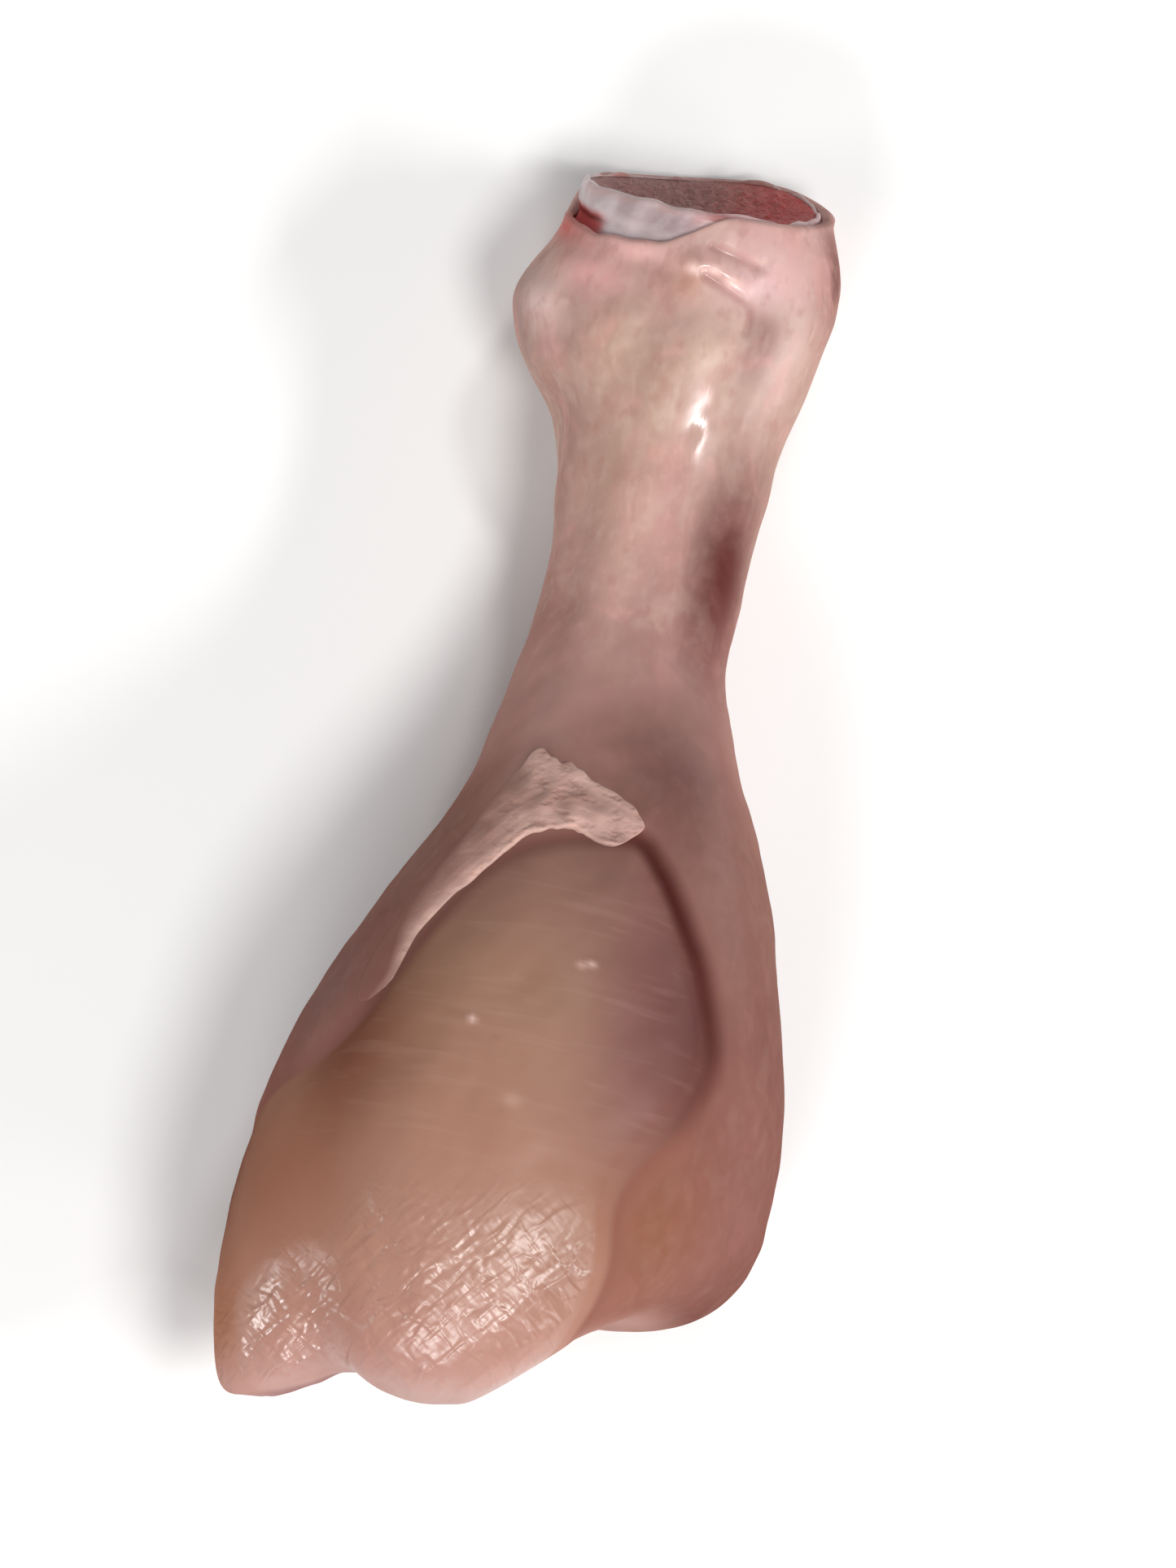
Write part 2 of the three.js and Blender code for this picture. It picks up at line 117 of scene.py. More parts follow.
def lamp(name, azimuth, elevation, distance, width, height, watts, colour):
    """An oval lamp at a direction and distance from the leg, turned to face it."""
    data = bpy.data.lights.new(name, "AREA")
    data.shape = "ELLIPSE"
    data.size, data.size_y = width, height
    data.energy, data.color = watts, colour
    there = direction(azimuth, elevation)
    light = bpy.data.objects.new(name, data)
    light.location = aim + distance * there
    light.rotation_euler = there.to_track_quat("Z", "Y").to_euler()
    bpy.context.scene.collection.objects.link(light)


for window, place_and_light in WINDOWS.items():
    lamp(window, *place_and_light)

# Flesh
# Muscles of the shank under a thin wet sheath of fascia, one closed body round the shin bone. The
# skin was pulled off, the knee was cut through between the bones, and the foot was chopped off
# through the hock, where the sheath has drawn back from the cartilage.
MM = 0.001
PER_METRE = 1000

# The middle of the footprint in the lists below, and the gap between flesh, bone and core
MIDDLE_X, MIDDLE_Y = 1.34, 6.2
GAP = 0.3

# y, half width to the left and to the right, top, bottom, height of the widest point
SECTIONS = np.array([
    (-46, 22.2, 23.4, 37.0, -0.2, 17.0),
    (-34, 21.9, 24.4, 38.6, -1.2, 17.0),
    (-24, 20.2, 24.4, 38.9, -1.5, 17.5),
    (-14, 16.8, 22.6, 37.7, -1.2, 17.5),
    (-5, 12.8, 20.1, 35.0, -0.6, 17.0),
    (3, 9.4, 17.2, 30.9, 0.3, 15.5),
    (10, 8.2, 14.0, 26.4, 1.6, 14.0),
    (18, 7.1, 11.0, 22.4, 3.0, 12.6),
    (26, 6.5, 10.9, 20.6, 3.2, 12.0),
    (34, 7.3, 11.2, 20.4, 2.5, 11.5),
    (40, 8.9, 11.7, 21.0, 1.4, 11.2),
    (45, 12.4, 12.5, 21.9, 0.3, 11.0),
    (50, 14.0, 13.3, 22.2, 0.0, 11.0),
    (54, 13.2, 13.9, 21.8, 0.0, 11.0),
    (58, 11.8, 13.5, 21.2, 0.3, 11.0),
    (62, 11.8, 12.3, 20.8, 0.8, 11.0),
])
LEFT, RIGHT, TOP, BOTTOM, MIDDLE = range(1, 6)
SECTION_POWER = 2.15

# The cut at the hock leans back by 23 degrees round a height of 11, and the rows before it lean more
# and more, from row 38 to row 58
CUT_Y, CUT_LEAN, CUT_MIDDLE = 62.5, np.tan(np.radians(23)), 11
LEANING = (38, 58)

# The knee end bulges out past row -30, further over the angles of the calf's two lobes, and rounds
# in towards the bone. Bells round the leg add to both: how much, at which angle, how wide.
LIP_Y, LIP_POWER = -30, 2.4
LIP_REACH, LOBES_REACH, LOBE_ANGLES = 13, 10.4, (18, 82, 174, 208)
REACH_BELLS = [(1.9, 163, 15), (-1.3, 133, 9), (0.8, 100, 18), (2.3, 250, 45), (-2.2, 325, 42)]
LIP_INWARD = 9.8
INWARD_BELLS = [(-6.2, 172, 26), (2.6, 0, 38), (-3.5, 265, 36)]

# y and angle of points on the calf muscle's outline, and on a roll and three fine creases of the
# sheath near the cut
CALF_OUTLINE = [
    (-4, 88), (-5.8, 99), (-8.6, 108), (-13, 116), (-18, 123.5), (-22.6, 129.5), (-26, 139),
    (-28.5, 153), (-31, 172), (-36, 190), (-44, 203), (-54, 212), (-64, 214), (-64, 50), (-52, 50),
    (-45, 51.5), (-40.6, 53), (-36, 57), (-32, 54), (-27, 45), (-21, 39), (-15, 41), (-9, 49),
    (-5, 56), (-2.4, 64), (-3, 76),
]
CREASE_UNDER_ROLL = [(57.0, 77), (56.4, 70), (55.6, 63.5), (54.6, 56), (53.1, 53), (51.2, 54)]
CREASE_OVER_ROLL = [(59.6, 76), (59.1, 67), (58.7, 58), (58.3, 50)]
ROLL = [(57.7, 84), (57.6, 74), (57.0, 65), (56.7, 57)]
CREASE_UNDER_CUT = [(56.8, 139), (56.6, 125), (56.8, 112), (57.0, 100), (56.6, 88)]

# The calf's crease: depth, how far it reaches into the muscle and into the sheath, how softly it
# bends, and how much of it is lost on the left and low on the right, from where to where
CREASE_DEPTH, CREASE_INTO_CALF, CREASE_INTO_SHEATH = 1.3, 3.5, 1.8
CREASE_SOFT, CREASE_SOFTER, SOFTENS = 0.6, 1.0, (20, 34)
CREASE_LOSS, LEFT_LOSS, LOW_LOSS, RIGHT_SIDE = 0.65, (136, 156), (17, 30), (70, 90)

# The rear lobe lies lower than the calf beside it, over a strip that dies out from 2.5 mm on
STEP_DEPTH, STEP_STRIP, STEP_FADES, STEP_BELL, STEP_STARTS = 0.9, 2.5, 8, (30, 40), (18, 32)

# The groove underneath: depth, half width, its angle at a row, how it drifts along the leg, its end
GROOVE_DEPTH, GROOVE_WIDE, GROOVE_ANGLE, GROOVE_ROW = 1.3, 2.2, 322, -45
GROOVE_DRIFT, GROOVE_END = 0.25, (5, 25)

# Height, y, half length, angle and half width in degrees of each mound, or hollow if below 0
MOUNDS = [
    (0.5, 46, 7, 82, 20),
    (-0.7, 47, 6, 51, 8),
    (-0.6, 49, 6, 137, 8),
    (0.4, 51, 8, 22, 22),
    (0.5, 49.5, 4.5, 165, 20),
    (0.5, 29, 12, 86, 13),
    (-0.8, 29, 10, 46, 10),
    (-0.4, 27, 10, 118, 11),
    (0.4, 27, 12, 18, 14),
    (-0.9, 20, 22, 300, 12),
    (-0.9, 22, 20, 235, 12),
    (0.6, 56.0, 2.2, 144, 13),
    (0.14, -15.3, 0.35, 73.8, 1.1),
    (0.10, -15.6, 0.35, 76.2, 1.1),
    (0.14, -22.4, 0.45, 99, 1.2),
    (0.12, -24.0, 0.35, 92, 1.2),
    (-1.0, -46, 8, 127, 12),
]


def rise(value, start, end):
    """A smooth step: 0 before start, 1 after end, and 3t² - 2t³ between them."""
    t = np.clip((value - start) / (end - start), 0, 1)
    return t * t * (3 - 2 * t)


def between(value, start, full, fading, end):
    """A smooth step up from start to full times a smooth step down from fading to end."""
    return rise(value, start, full) * (1 - rise(value, fading, end))


def bell(angle, centre, width):
    """exp(-(off / width)²), where off is the shorter way round from the centre, in degrees."""
    return np.exp(-((((angle - centre + 180) % 360) - 180) / width) ** 2)


def hump(y, centre, width):
    """exp(-(off / width)²), where off is the distance along the leg from the centre."""
    return np.exp(-((y - centre) / width) ** 2)


def spot(y, angle, centre, long, at, wide):
    """A soft oval on the leg: a hump along it times a bell round it."""
    return hump(y, centre, long) * bell(angle, at, wide)


def strip(distance, width):
    """exp(-(distance / width)²): 1 on a line and fading to both sides of it."""
    return np.exp(-(distance / width) ** 2)


def bells(angle, listed):
    """The sum of a list's bells, each times its own height."""
    return sum(by * bell(angle, centre, width) for by, centre, width in listed)


def size_at(y, stations, column):
    """A cubic through the stations; its slope at each is that of the line between its two neighbours."""
    ys, values = stations[:, 0], stations[:, column]
    y = np.clip(y, ys[0], ys[-1])
    i = np.clip(np.searchsorted(ys, y, side="right") - 1, 0, len(ys) - 2)
    every = np.arange(len(ys))
    before, after = np.maximum(every - 1, 0), np.minimum(every + 1, len(ys) - 1)
    slope = (values[after] - values[before]) / (ys[after] - ys[before])
    step = ys[i + 1] - ys[i]
    t = (y - ys[i]) / step
    start = (1 + 2 * t) * (1 - t) ** 2 * values[i] + t * (1 - t) ** 2 * step * slope[i]
    return start + t * t * (3 - 2 * t) * values[i + 1] + t * t * (t - 1) * step * slope[i + 1]


def smooth_line(points, closed, parts=5):
    """A Catmull-Rom curve through the points, with that many parts between one and the next."""
    p = np.array(points, float)
    if not closed:
        p = np.vstack([2 * p[0] - p[1], p, 2 * p[-1] - p[-2]])
    a, b, c, d = (np.roll(p, k, 0)[:, None] for k in (1, 0, -1, -2))
    t = (np.arange(parts) / parts)[None, :, None]
    bend = (2 * a - 5 * b + 4 * c - d) * t ** 2 + (3 * b - 3 * c + d - a) * t ** 3
    curve = 0.5 * (2 * b + (c - a) * t + bend)
    if closed:
        return curve.reshape(-1, 2)
    return np.vstack([curve[1:-2].reshape(-1, 2), p[-2]])


def around_scale(y):
    """Millimetres for each degree round the leg: its mean radius times a degree in radians."""
    mean = (size_at(y, SECTIONS, LEFT) + size_at(y, SECTIONS, RIGHT)
            + size_at(y, SECTIONS, TOP) - size_at(y, SECTIONS, BOTTOM)) / 4
    return np.radians(1) * mean


def distance_to(line, y, angle, closed):
    """Distance on the unrolled surface to the nearest part of a line, above 0 inside a closed one."""
    scale = around_scale(y)
    nearest = np.full(y.shape, np.inf)
    inside = np.zeros(y.shape, bool)
    ends = np.roll(line, -1, 0) if closed else line[1:]
    for (y0, a0), (y1, a1) in zip(line, ends):
        step_y, step_around = y1 - y0, (a1 - a0) * scale
        to_y, to_around = y - y0, (angle - a0) * scale
        share = np.clip((to_y * step_y + to_around * step_around) / (step_y ** 2 + step_around ** 2), 0, 1)
        nearest = np.minimum(nearest, np.hypot(to_y - share * step_y, to_around - share * step_around))
        if closed and y0 != y1:
            inside ^= ((y0 > y) != (y1 > y)) & (angle < a0 + to_y / step_y * (a1 - a0))
    return np.where(inside | (not closed), nearest, -nearest)


def ripples(points, wavelength, seed, waves=28):
    """A sum of cosine waves of about one wavelength in seeded directions, with a spread of 1."""
    draw = np.random.default_rng(seed)
    ways = draw.normal(size=(waves, 3))
    shortness = draw.uniform(0.7, 1.3, waves)
    ways *= (2 * np.pi / wavelength * shortness / np.linalg.norm(ways, axis=1))[:, None]
    shifts = draw.uniform(0, 2 * np.pi, waves)
    return sum(np.cos(points @ way + shift) for way, shift in zip(ways, shifts)) / np.sqrt(waves / 2)


def ragged(turn, seed, first=5, last=23):
    """A torn edge round a full turn: cosines of that many whole waves, each weaker as it gets shorter."""
    draw = np.random.default_rng(seed)
    counts = np.arange(first, last)
    shifts = draw.uniform(0, 2 * np.pi, len(counts))
    return sum(np.cos(n * turn + shift) / np.sqrt(n) for n, shift in zip(counts, shifts))


def section_point(y, angle, height, inward=0.0):
    """A point of a section, at its radius plus a height, then drawn in towards the middle by inward.

    The radius is that of four quarters of superellipses: (|cos / wide|^p + |sin / high|^p) ^ (-1 / p).
    """
    across, up = np.cos(angle), np.sin(angle)
    middle = size_at(y, SECTIONS, MIDDLE)
    wide = np.where(across > 0, size_at(y, SECTIONS, RIGHT), size_at(y, SECTIONS, LEFT))
    high = np.where(up > 0, size_at(y, SECTIONS, TOP) - middle, middle - size_at(y, SECTIONS, BOTTOM))
    powers = np.abs(across / wide) ** SECTION_POWER + np.abs(up / high) ** SECTION_POWER
    radius = powers ** (-1 / SECTION_POWER) + height
    z = np.maximum(0, np.maximum(0, middle + radius * up) - inward * up)
    return np.stack([(radius - inward) * across, y, z], -1)


def leaned(points, row):
    """Points moved back by their height over the cut's middle times a slope, which grows to the cut's."""
    lean = CUT_LEAN * rise(row, *LEANING)
    moved = points.copy()
    moved[..., 1] -= lean * (points[..., 2] - CUT_MIDDLE)
    return moved


calf_line = smooth_line(CALF_OUTLINE, True)

# Line, height and half width of each fold; the first two are the creases beside the roll
fold_lines = [(smooth_line(line, False), height, width) for line, height, width in (
    (CREASE_UNDER_ROLL, -0.3, 0.5),
    (CREASE_OVER_ROLL, -0.2, 0.4),
    (ROLL, 0.2, 0.9),
    (CREASE_UNDER_CUT, -0.2, 1.0),
)]


def relief(y, degrees, calf):
    """Height over the plain section: the crease, the rear lobe's step, the groove, mounds and folds."""
    on_right = 1 - rise(degrees, *RIGHT_SIDE)
    kept = (1 - CREASE_LOSS * rise(degrees, *LEFT_LOSS)) * (1 - CREASE_LOSS * rise(-y, *LOW_LOSS) * on_right)
    soft = CREASE_SOFT + CREASE_SOFTER * rise(-y, *SOFTENS) * on_right
    off = np.hypot(calf, soft) - soft
    height = -CREASE_DEPTH * kept * np.exp(-off / np.where(calf > 0, CREASE_INTO_CALF, CREASE_INTO_SHEATH))
    behind = rise(-calf, 0, STEP_STRIP) * np.exp(-np.maximum(0, -calf - STEP_STRIP) / STEP_FADES)
    height -= STEP_DEPTH * behind * bell(degrees, *STEP_BELL) * rise(-y, *STEP_STARTS)
    from_groove = (degrees - GROOVE_ANGLE + GROOVE_DRIFT * (y - GROOVE_ROW)) * around_scale(y)
    height -= GROOVE_DEPTH * strip(from_groove, GROOVE_WIDE) * (1 - rise(y, *GROOVE_END))
    for up, *place in MOUNDS:
        height += up * spot(y, degrees, *place)
    for line, up, width in fold_lines:
        height += up * strip(distance_to(line, y, degrees, False), width)
    return height


# Lumps in the surface: height and wavelength, the larger ones higher along the shaft
LUMP, SHAFT_LUMP, LUMP_SIZE, SHAFT_LUMPS_START = 0.07, 0.06, 8.0, (10, 30)
SMALL_LUMP, SMALL_LUMP_SIZE = 0.02, 3.0


def outside_point(y, degrees, lift=0.0, inward=0.0):
    """A point of the leg's outside, lifted by some height, and its distance into the calf's outline."""
    angle = np.radians(degrees)
    calf = distance_to(calf_line, y, degrees, True)
    plain = section_point(y, angle, 0.0)
    lumps = (LUMP + SHAFT_LUMP * rise(y, *SHAFT_LUMPS_START)) * ripples(plain, LUMP_SIZE, seed=3)
    lumps += SMALL_LUMP * ripples(plain, SMALL_LUMP_SIZE, seed=4)
    points = section_point(y, angle, relief(y, degrees, calf) + lumps + lift, inward)
    return leaned(points, y), calf


# y, half width, half height and centre of each section of the bone
BONE_SECTIONS = np.array([
    (-43, 9.0, 7.6, 0.5, 16.4),
    (-37.5, 9.6, 8.4, 0.5, 16.5),
    (-31, 8.2, 7.4, 0.9, 16.2),
    (-22, 5.2, 5.0, 1.6, 15.4),
    (0, 4.2, 4.2, 2.4, 13.4),
    (20, 4.0, 4.0, 2.1, 12.0),
    (35, 4.8, 4.6, 1.6, 11.4),
    (42, 7.0, 6.6, 0.9, 11.1),
    (48, 9.8, 8.8, 0.3, 11.0),
    (54, 10.7, 9.5, 0.1, 11.0),
    (62, 10.8, 9.2, 0.2, 11.0),
])
WIDE, HIGH, AT_X, AT_Z = range(1, 5)
SOCKET_Y = -40.5


def bone_point(row, degrees, outside=0.0):
    """A point of an ellipse round the bone's middle, some way outside the bone, leaned as the cut is."""
    angle = np.radians(degrees)
    x = size_at(row, BONE_SECTIONS, AT_X) + (size_at(row, BONE_SECTIONS, WIDE) + outside) * np.cos(angle)
    z = size_at(row, BONE_SECTIONS, AT_Z) + (size_at(row, BONE_SECTIONS, HIGH) + outside) * np.sin(angle)
    return leaned(np.stack([x, row, z], -1), row)


def ring_mesh(name, rings, joined, fields):
    """A mesh through rings of points in millimetres, put at their place in the frame in metres.

    Each ring closes on itself. The last ring joins the first, or each is closed by a fan round its middle.
    fields are values or colours of every point, kept as attributes; a fan's middle gets its ring's mean.
    """
    count, sides = rings.shape[:2]
    here = np.arange(count if joined else count - 1)[:, None] * sides
    after = (here + sides) % (count * sides)
    side = np.arange(sides)[None]
    beside = (side + 1) % sides
    quads = np.stack([here + side, after + side, after + beside, here + beside], -1).reshape(-1, 4)
    faces = quads.tolist()

    def with_middles(values):
        """The values in one list, with the mean of the first and of the last ring at its end."""
        flat = values.reshape(count * sides, -1)
        if joined:
            return flat
        return np.vstack([flat, values[0].reshape(sides, -1).mean(0), values[-1].reshape(sides, -1).mean(0)])

    if not joined:
        first, last = count * sides, count * sides + 1
        end = (count - 1) * sides
        faces += [(first, n, (n + 1) % sides) for n in range(sides)]
        faces += [(last, end + (n + 1) % sides, end + n) for n in range(sides)]
    points = with_middles(rings) - (MIDDLE_X, MIDDLE_Y, 0)
    mesh = bpy.data.meshes.new(name)
    mesh.from_pydata((points * MM).tolist(), [], faces)
    mesh.polygons.foreach_set("use_smooth", np.ones(len(faces), bool))
    for field, values in fields.items():
        values = with_middles(np.broadcast_to(values, rings.shape[:2] + np.shape(values)[2:]))
        if values.shape[1] == 3:
            kept = mesh.attributes.new(field, "FLOAT_COLOR", "POINT")
            kept.data.foreach_set("color", np.hstack([values, np.ones((len(values), 1))]).ravel())
        else:
            mesh.attributes.new(field, "FLOAT", "POINT").data.foreach_set("value", values.ravel())
    piece = bpy.data.objects.new(name, mesh)
    bpy.context.scene.collection.objects.link(piece)
    return piece


# Colours are linear red, green and blue. The sheath's colour along the leg, from knee to hock:
SHEATH_ALONG = np.array([
    (-60, 0.260, 0.115, 0.090),
    (-30, 0.210, 0.088, 0.070),
    (-16, 0.185, 0.085, 0.070),
    (0, 0.225, 0.112, 0.090),
    (6, 0.290, 0.150, 0.126),
    (14, 0.350, 0.195, 0.168),
    (20, 0.350, 0.192, 0.167),
    (30, 0.440, 0.270, 0.230),
    (38, 0.420, 0.270, 0.225),
    (46, 0.430, 0.280, 0.235),
    (54, 0.500, 0.320, 0.280),
    (64, 0.560, 0.340, 0.315),
])
CALF_ALONG = np.array([
    (-58, 0.415, 0.218, 0.190),
    (-50, 0.375, 0.198, 0.155),
    (-40, 0.330, 0.176, 0.128),
    (-28, 0.290, 0.154, 0.108),
    (-18, 0.268, 0.146, 0.100),
    (-8, 0.245, 0.128, 0.098),
    (-2, 0.250, 0.130, 0.104),
])

# Patches of other colour, some of them painted shade or painted highlights as marked: colour, strength, y,
# half length, angle, half width in degrees
SHEATH_PATCHES = [
    ((0.230, 0.130, 0.108), 0.6, -6, 6, 133, 12),
    ((0.200, 0.118, 0.108), 0.6, -20, 6, 148, 12),
    ((0.300, 0.166, 0.134), 0.6, 1, 4, 114, 8),
    ((0.400, 0.218, 0.192), 0.8, 10, 6, 104, 28),
    ((0.135, 0.050, 0.045), 0.85, 5, 8, 53, 24),
    ((0.470, 0.295, 0.250), 0.7, 25, 8, 92, 14),
    ((0.400, 0.255, 0.200), 0.7, 33, 5, 106, 18),
    ((0.320, 0.185, 0.155), 0.7, 36, 10, 150, 22),
    ((0.470, 0.260, 0.235), 0.8, 32, 5, 68, 12),
    ((0.092, 0.022, 0.021), 0.98, 27, 11, 30, 22),
    ((0.440, 0.285, 0.230), 0.8, 46, 7, 110, 16),
    ((0.355, 0.222, 0.172), 0.8, 43, 6, 86, 13),
    ((0.500, 0.355, 0.290), 0.9, 48, 4.0, 71, 8),
    ((0.395, 0.215, 0.190), 0.8, 55.5, 2.8, 101, 9),
    ((0.530, 0.272, 0.198), 0.7, 56.0, 2.0, 84, 8),
    ((0.700, 0.370, 0.360), 0.85, 54.4, 2.6, 128, 13),
    ((0.620, 0.470, 0.450), 0.95, 50, 3.4, 149, 11),
    ((0.420, 0.250, 0.230), 0.8, 45.2, 1.2, 146, 9),
    ((0.320, 0.215, 0.200), 0.8, 48, 5, 166, 9),
    ((0.590, 0.445, 0.410), 0.8, 49, 7, 35, 10),
    # Painted shade: grey in the shallow groove on the right of the knuckle
    ((0.250, 0.130, 0.118), 0.9, 50.5, 4.5, 47, 8),
    ((0.710, 0.480, 0.490), 0.85, 57.2, 3.0, 50, 15),
    # Painted shade: dark at the far right edge of the knuckle
    ((0.120, 0.034, 0.029), 0.8, 58, 6, 10, 14),
    ((0.690, 0.400, 0.385), 0.8, 58.0, 0.9, 114, 18),
    # Painted highlights: peach glints along the roll beside the cut, this and the next three
    ((0.950, 0.680, 0.620), 0.85, 57.3, 0.5, 82, 4.5),
    ((0.950, 0.680, 0.620), 0.9, 57.5, 0.55, 73, 4.5),
    ((0.950, 0.680, 0.620), 0.9, 56.7, 0.55, 64, 4.0),
    ((0.850, 0.620, 0.560), 0.6, 58.9, 0.4, 53, 4.0),
    ((0.560, 0.150, 0.135), 0.9, 58.0, 1.2, 160, 20),
]
CALF_PATCHES = [
    ((0.300, 0.145, 0.088), 0.7, -38, 6, 64, 12),
    ((0.145, 0.050, 0.030), 0.85, -26, 10, 130, 16),
    ((0.140, 0.054, 0.054), 0.85, -18, 18, 56, 16),
    # Painted shade: dark along the calf's right edge
    ((0.090, 0.030, 0.030), 0.85, -17, 13, 44, 9),
    ((0.250, 0.104, 0.064), 0.75, -38, 8, 143, 18),
    ((0.360, 0.158, 0.090), 0.75, -49, 6, 165, 16),
    # Painted shade: dark along the calf's left edge
    ((0.130, 0.042, 0.026), 0.85, -35, 10, 176, 17),
    # Pale specks of fat, this and the next two, painted lighter as their small highlights as well
    ((0.560, 0.390, 0.340), 0.8, -15.3, 0.3, 73.8, 1.2),
    ((0.480, 0.310, 0.260), 0.7, -15.6, 0.35, 76.2, 1.3),
    ((0.600, 0.430, 0.380), 0.8, -22.4, 0.35, 99, 1.0),
    ((0.420, 0.260, 0.200), 0.6, -29.0, 0.7, 86, 2.2),
]
REAR_PATCHES = [
    ((0.200, 0.083, 0.048), 0.9, -36, 6, 44, 12),
    ((0.200, 0.088, 0.074), 0.8, -30, 9, 20, 18),
    # Painted shade: dark low on the right edge
    ((0.130, 0.052, 0.044), 0.8, -42, 9, 0, 22),
]
RIM_COLOUR = (0.430, 0.250, 0.215)
# Painted shade in the two fine creases beside the roll, a brownish red
CREASE_SHADE_RED = (0.300, 0.110, 0.095)
BORE_COLOUR = (0.260, 0.070, 0.060)
SOCKET_PALE = (0.520, 0.330, 0.290)
SOCKET_PALE_SHARE, SOCKET_PALE_FROM = 0.8, (0.25, 0.8)


def along_colour(y, stations):
    """A colour read along the leg, in straight lines between stations."""
    return np.stack([np.interp(y, stations[:, 0], stations[:, k]) for k in (1, 2, 3)], -1)


def mixed(under, over, share):
    """under * (1 - share) + over * share, for one colour or one at every point."""
    under = np.asarray(under)
    return under + (np.asarray(over) - under) * np.asarray(share)[..., None]


def patched(colours, patches, y, degrees):
    """Soft patches laid one over another, each a hump along the leg times a bell round it."""
    for colour, strength, *place in patches:
        colours = mixed(colours, colour, strength * spot(y, degrees, *place))
    return colours


def rows(*parts):
    """Evenly spaced rows in parts of a start, an end and a count; only the last part reaches its end."""
    spaced = [np.linspace(*part, endpoint=False) for part in parts[:-1]]
    return np.concatenate([*spaced, np.linspace(*parts[-1])])


FLESH_SIDES = 252
FLESH_ROWS = rows((LIP_Y, -8, 72), (-8, 8, 60), (8, 40, 95), (40, CUT_Y, 74))
LIP_TURNS = np.linspace(1, 0, 52, endpoint=False)
BORE_ROWS = np.array([CUT_Y, 58, 54, 49, 45, 41, 37, 30, 15, -5, -18, -26, -31, -36, -38.5, SOCKET_Y])
SOCKET_SHARES = np.linspace(1, 0, 9)[1:-1]
RIM_SHARES = np.array([0.12, 0.3, 0.5, 0.7, 0.88])
RIM_ROUND = 0.28
SOCKET_LUMP, SOCKET_LUMP_SIZE = 0.3, 3.0

# Points lie closer together on top, where the calf's crease and the sheath's folds are.
GATHERED, GATHERED_AT = 0.35, 0.3
even = np.linspace(0, 2 * np.pi, FLESH_SIDES, endpoint=False) - np.pi / 2
turns = np.degrees(even + GATHERED * np.cos(even + GATHERED_AT))

# Rows follow the cut's shape from 8 mm before it. Its lower right side bulges; the sheath has drawn
# back from it on the upper left, a little further over the slit, with a ragged edge.
CUT_ROWS = 8
CUT_BULGE, BULGE_BELL = 1.5, (305, 46)
DRAWN_BACK, DRAWN_ANGLES = 3.5, (66, 106, 184, 216)
DRAWN_FURTHER, FURTHER_BELL = 0.4, (140, 22)
SHEATH_RAG = 0.1

# The sheath stands off the bone by the gap, lies closer to it at the cut, and gapes at the slit.
SHEATH_CLOSER, CLOSER_ROWS = 0.22, (54, 58)
SLIT_OPEN, SLIT_SPOT = 0.1, (59.5, 2.5, 150, 14)


def cut_bulge(row, degrees):
    """How far the lower right side of the cut stands out along the leg."""
    return CUT_BULGE * bell(degrees, *BULGE_BELL) * rise(row, CUT_Y - CUT_ROWS, CUT_Y)


def sheath_row(row, degrees):
    """A row of the sheath, which near the hock lies as far back as the sheath has drawn from the cut."""
    front = between(degrees, *DRAWN_ANGLES)
    back = GAP + DRAWN_BACK * front + DRAWN_FURTHER * bell(degrees, *FURTHER_BELL)
    back = back + SHEATH_RAG * ragged(np.radians(degrees), seed=8) * front
    return row - back * rise(row, CUT_Y - CUT_ROWS, CUT_Y) + cut_bulge(row, degrees)


def grid(along, around):
    """Rows along the leg and angles round it as two full arrays."""
    return np.meshgrid(np.asarray(along, float), np.asarray(around, float) % 360, indexing="ij")


row, degrees = grid(FLESH_ROWS, turns)
y = sheath_row(row, degrees)
outside, outside_calf = outside_point(y, degrees)
outside_y, outside_degrees = y, degrees

row, degrees = grid(BORE_ROWS, turns)
off_bone = GAP - SHEATH_CLOSER * rise(row, *CLOSER_ROWS) + SLIT_OPEN * spot(row, degrees, *SLIT_SPOT)
bore = bone_point(sheath_row(row, degrees), degrees, off_bone)

# The rim goes over from the outside to the bore, with a round edge.
share = RIM_SHARES[:, None, None]
rim = outside[-1] * (1 - share) + bore[0] * share
rim[..., 1] += RIM_ROUND * np.sin(np.pi * RIM_SHARES)[:, None]

# The lip is a quarter of a superellipse from the last row, over the knee end, in to the socket.
turn, degrees = grid(LIP_TURNS, turns)
reach = LIP_REACH + bells(degrees, REACH_BELLS) + LOBES_REACH * between(degrees, *LOBE_ANGLES)
forward = np.sin(turn * np.pi / 2) ** (2 / LIP_POWER)
inward = (LIP_INWARD + bells(degrees, INWARD_BELLS)) * (1 - np.cos(turn * np.pi / 2) ** (2 / LIP_POWER))
lip_y = LIP_Y - reach * forward
lip, lip_calf = outside_point(lip_y, degrees, inward=inward)
lip_degrees, lip_turn = degrees, turn

# The socket's wall curves from the lip down to its seat against the bone.
share, degrees = grid(SOCKET_SHARES, turns)
seat = bone_point(np.full(turns.shape, float(SOCKET_Y)), turns % 360, GAP)
inner = (np.sin(share * np.pi / 2) ** 0.8)[..., None]
deeper = 1 - np.cos(share * np.pi / 2) ** 1.3
socket = lip[0] + (seat - lip[0]) * inner
socket[..., 1] = lip[0, :, 1] + (seat[:, 1] - lip[0, :, 1]) * deeper
socket += (SOCKET_LUMP * np.sin(np.pi * share) * ripples(socket, SOCKET_LUMP_SIZE, seed=11))[..., None]


def sheath_colour(y, degrees):
    """The sheath's colour along the leg with its patches."""
    return patched(along_colour(y, SHEATH_ALONG), SHEATH_PATCHES + REAR_PATCHES, y, degrees)


def calf_colour(y, degrees):
    """The calf muscle's colour along the leg with its patches."""
    return patched(along_colour(y, CALF_ALONG), CALF_PATCHES, y, degrees)


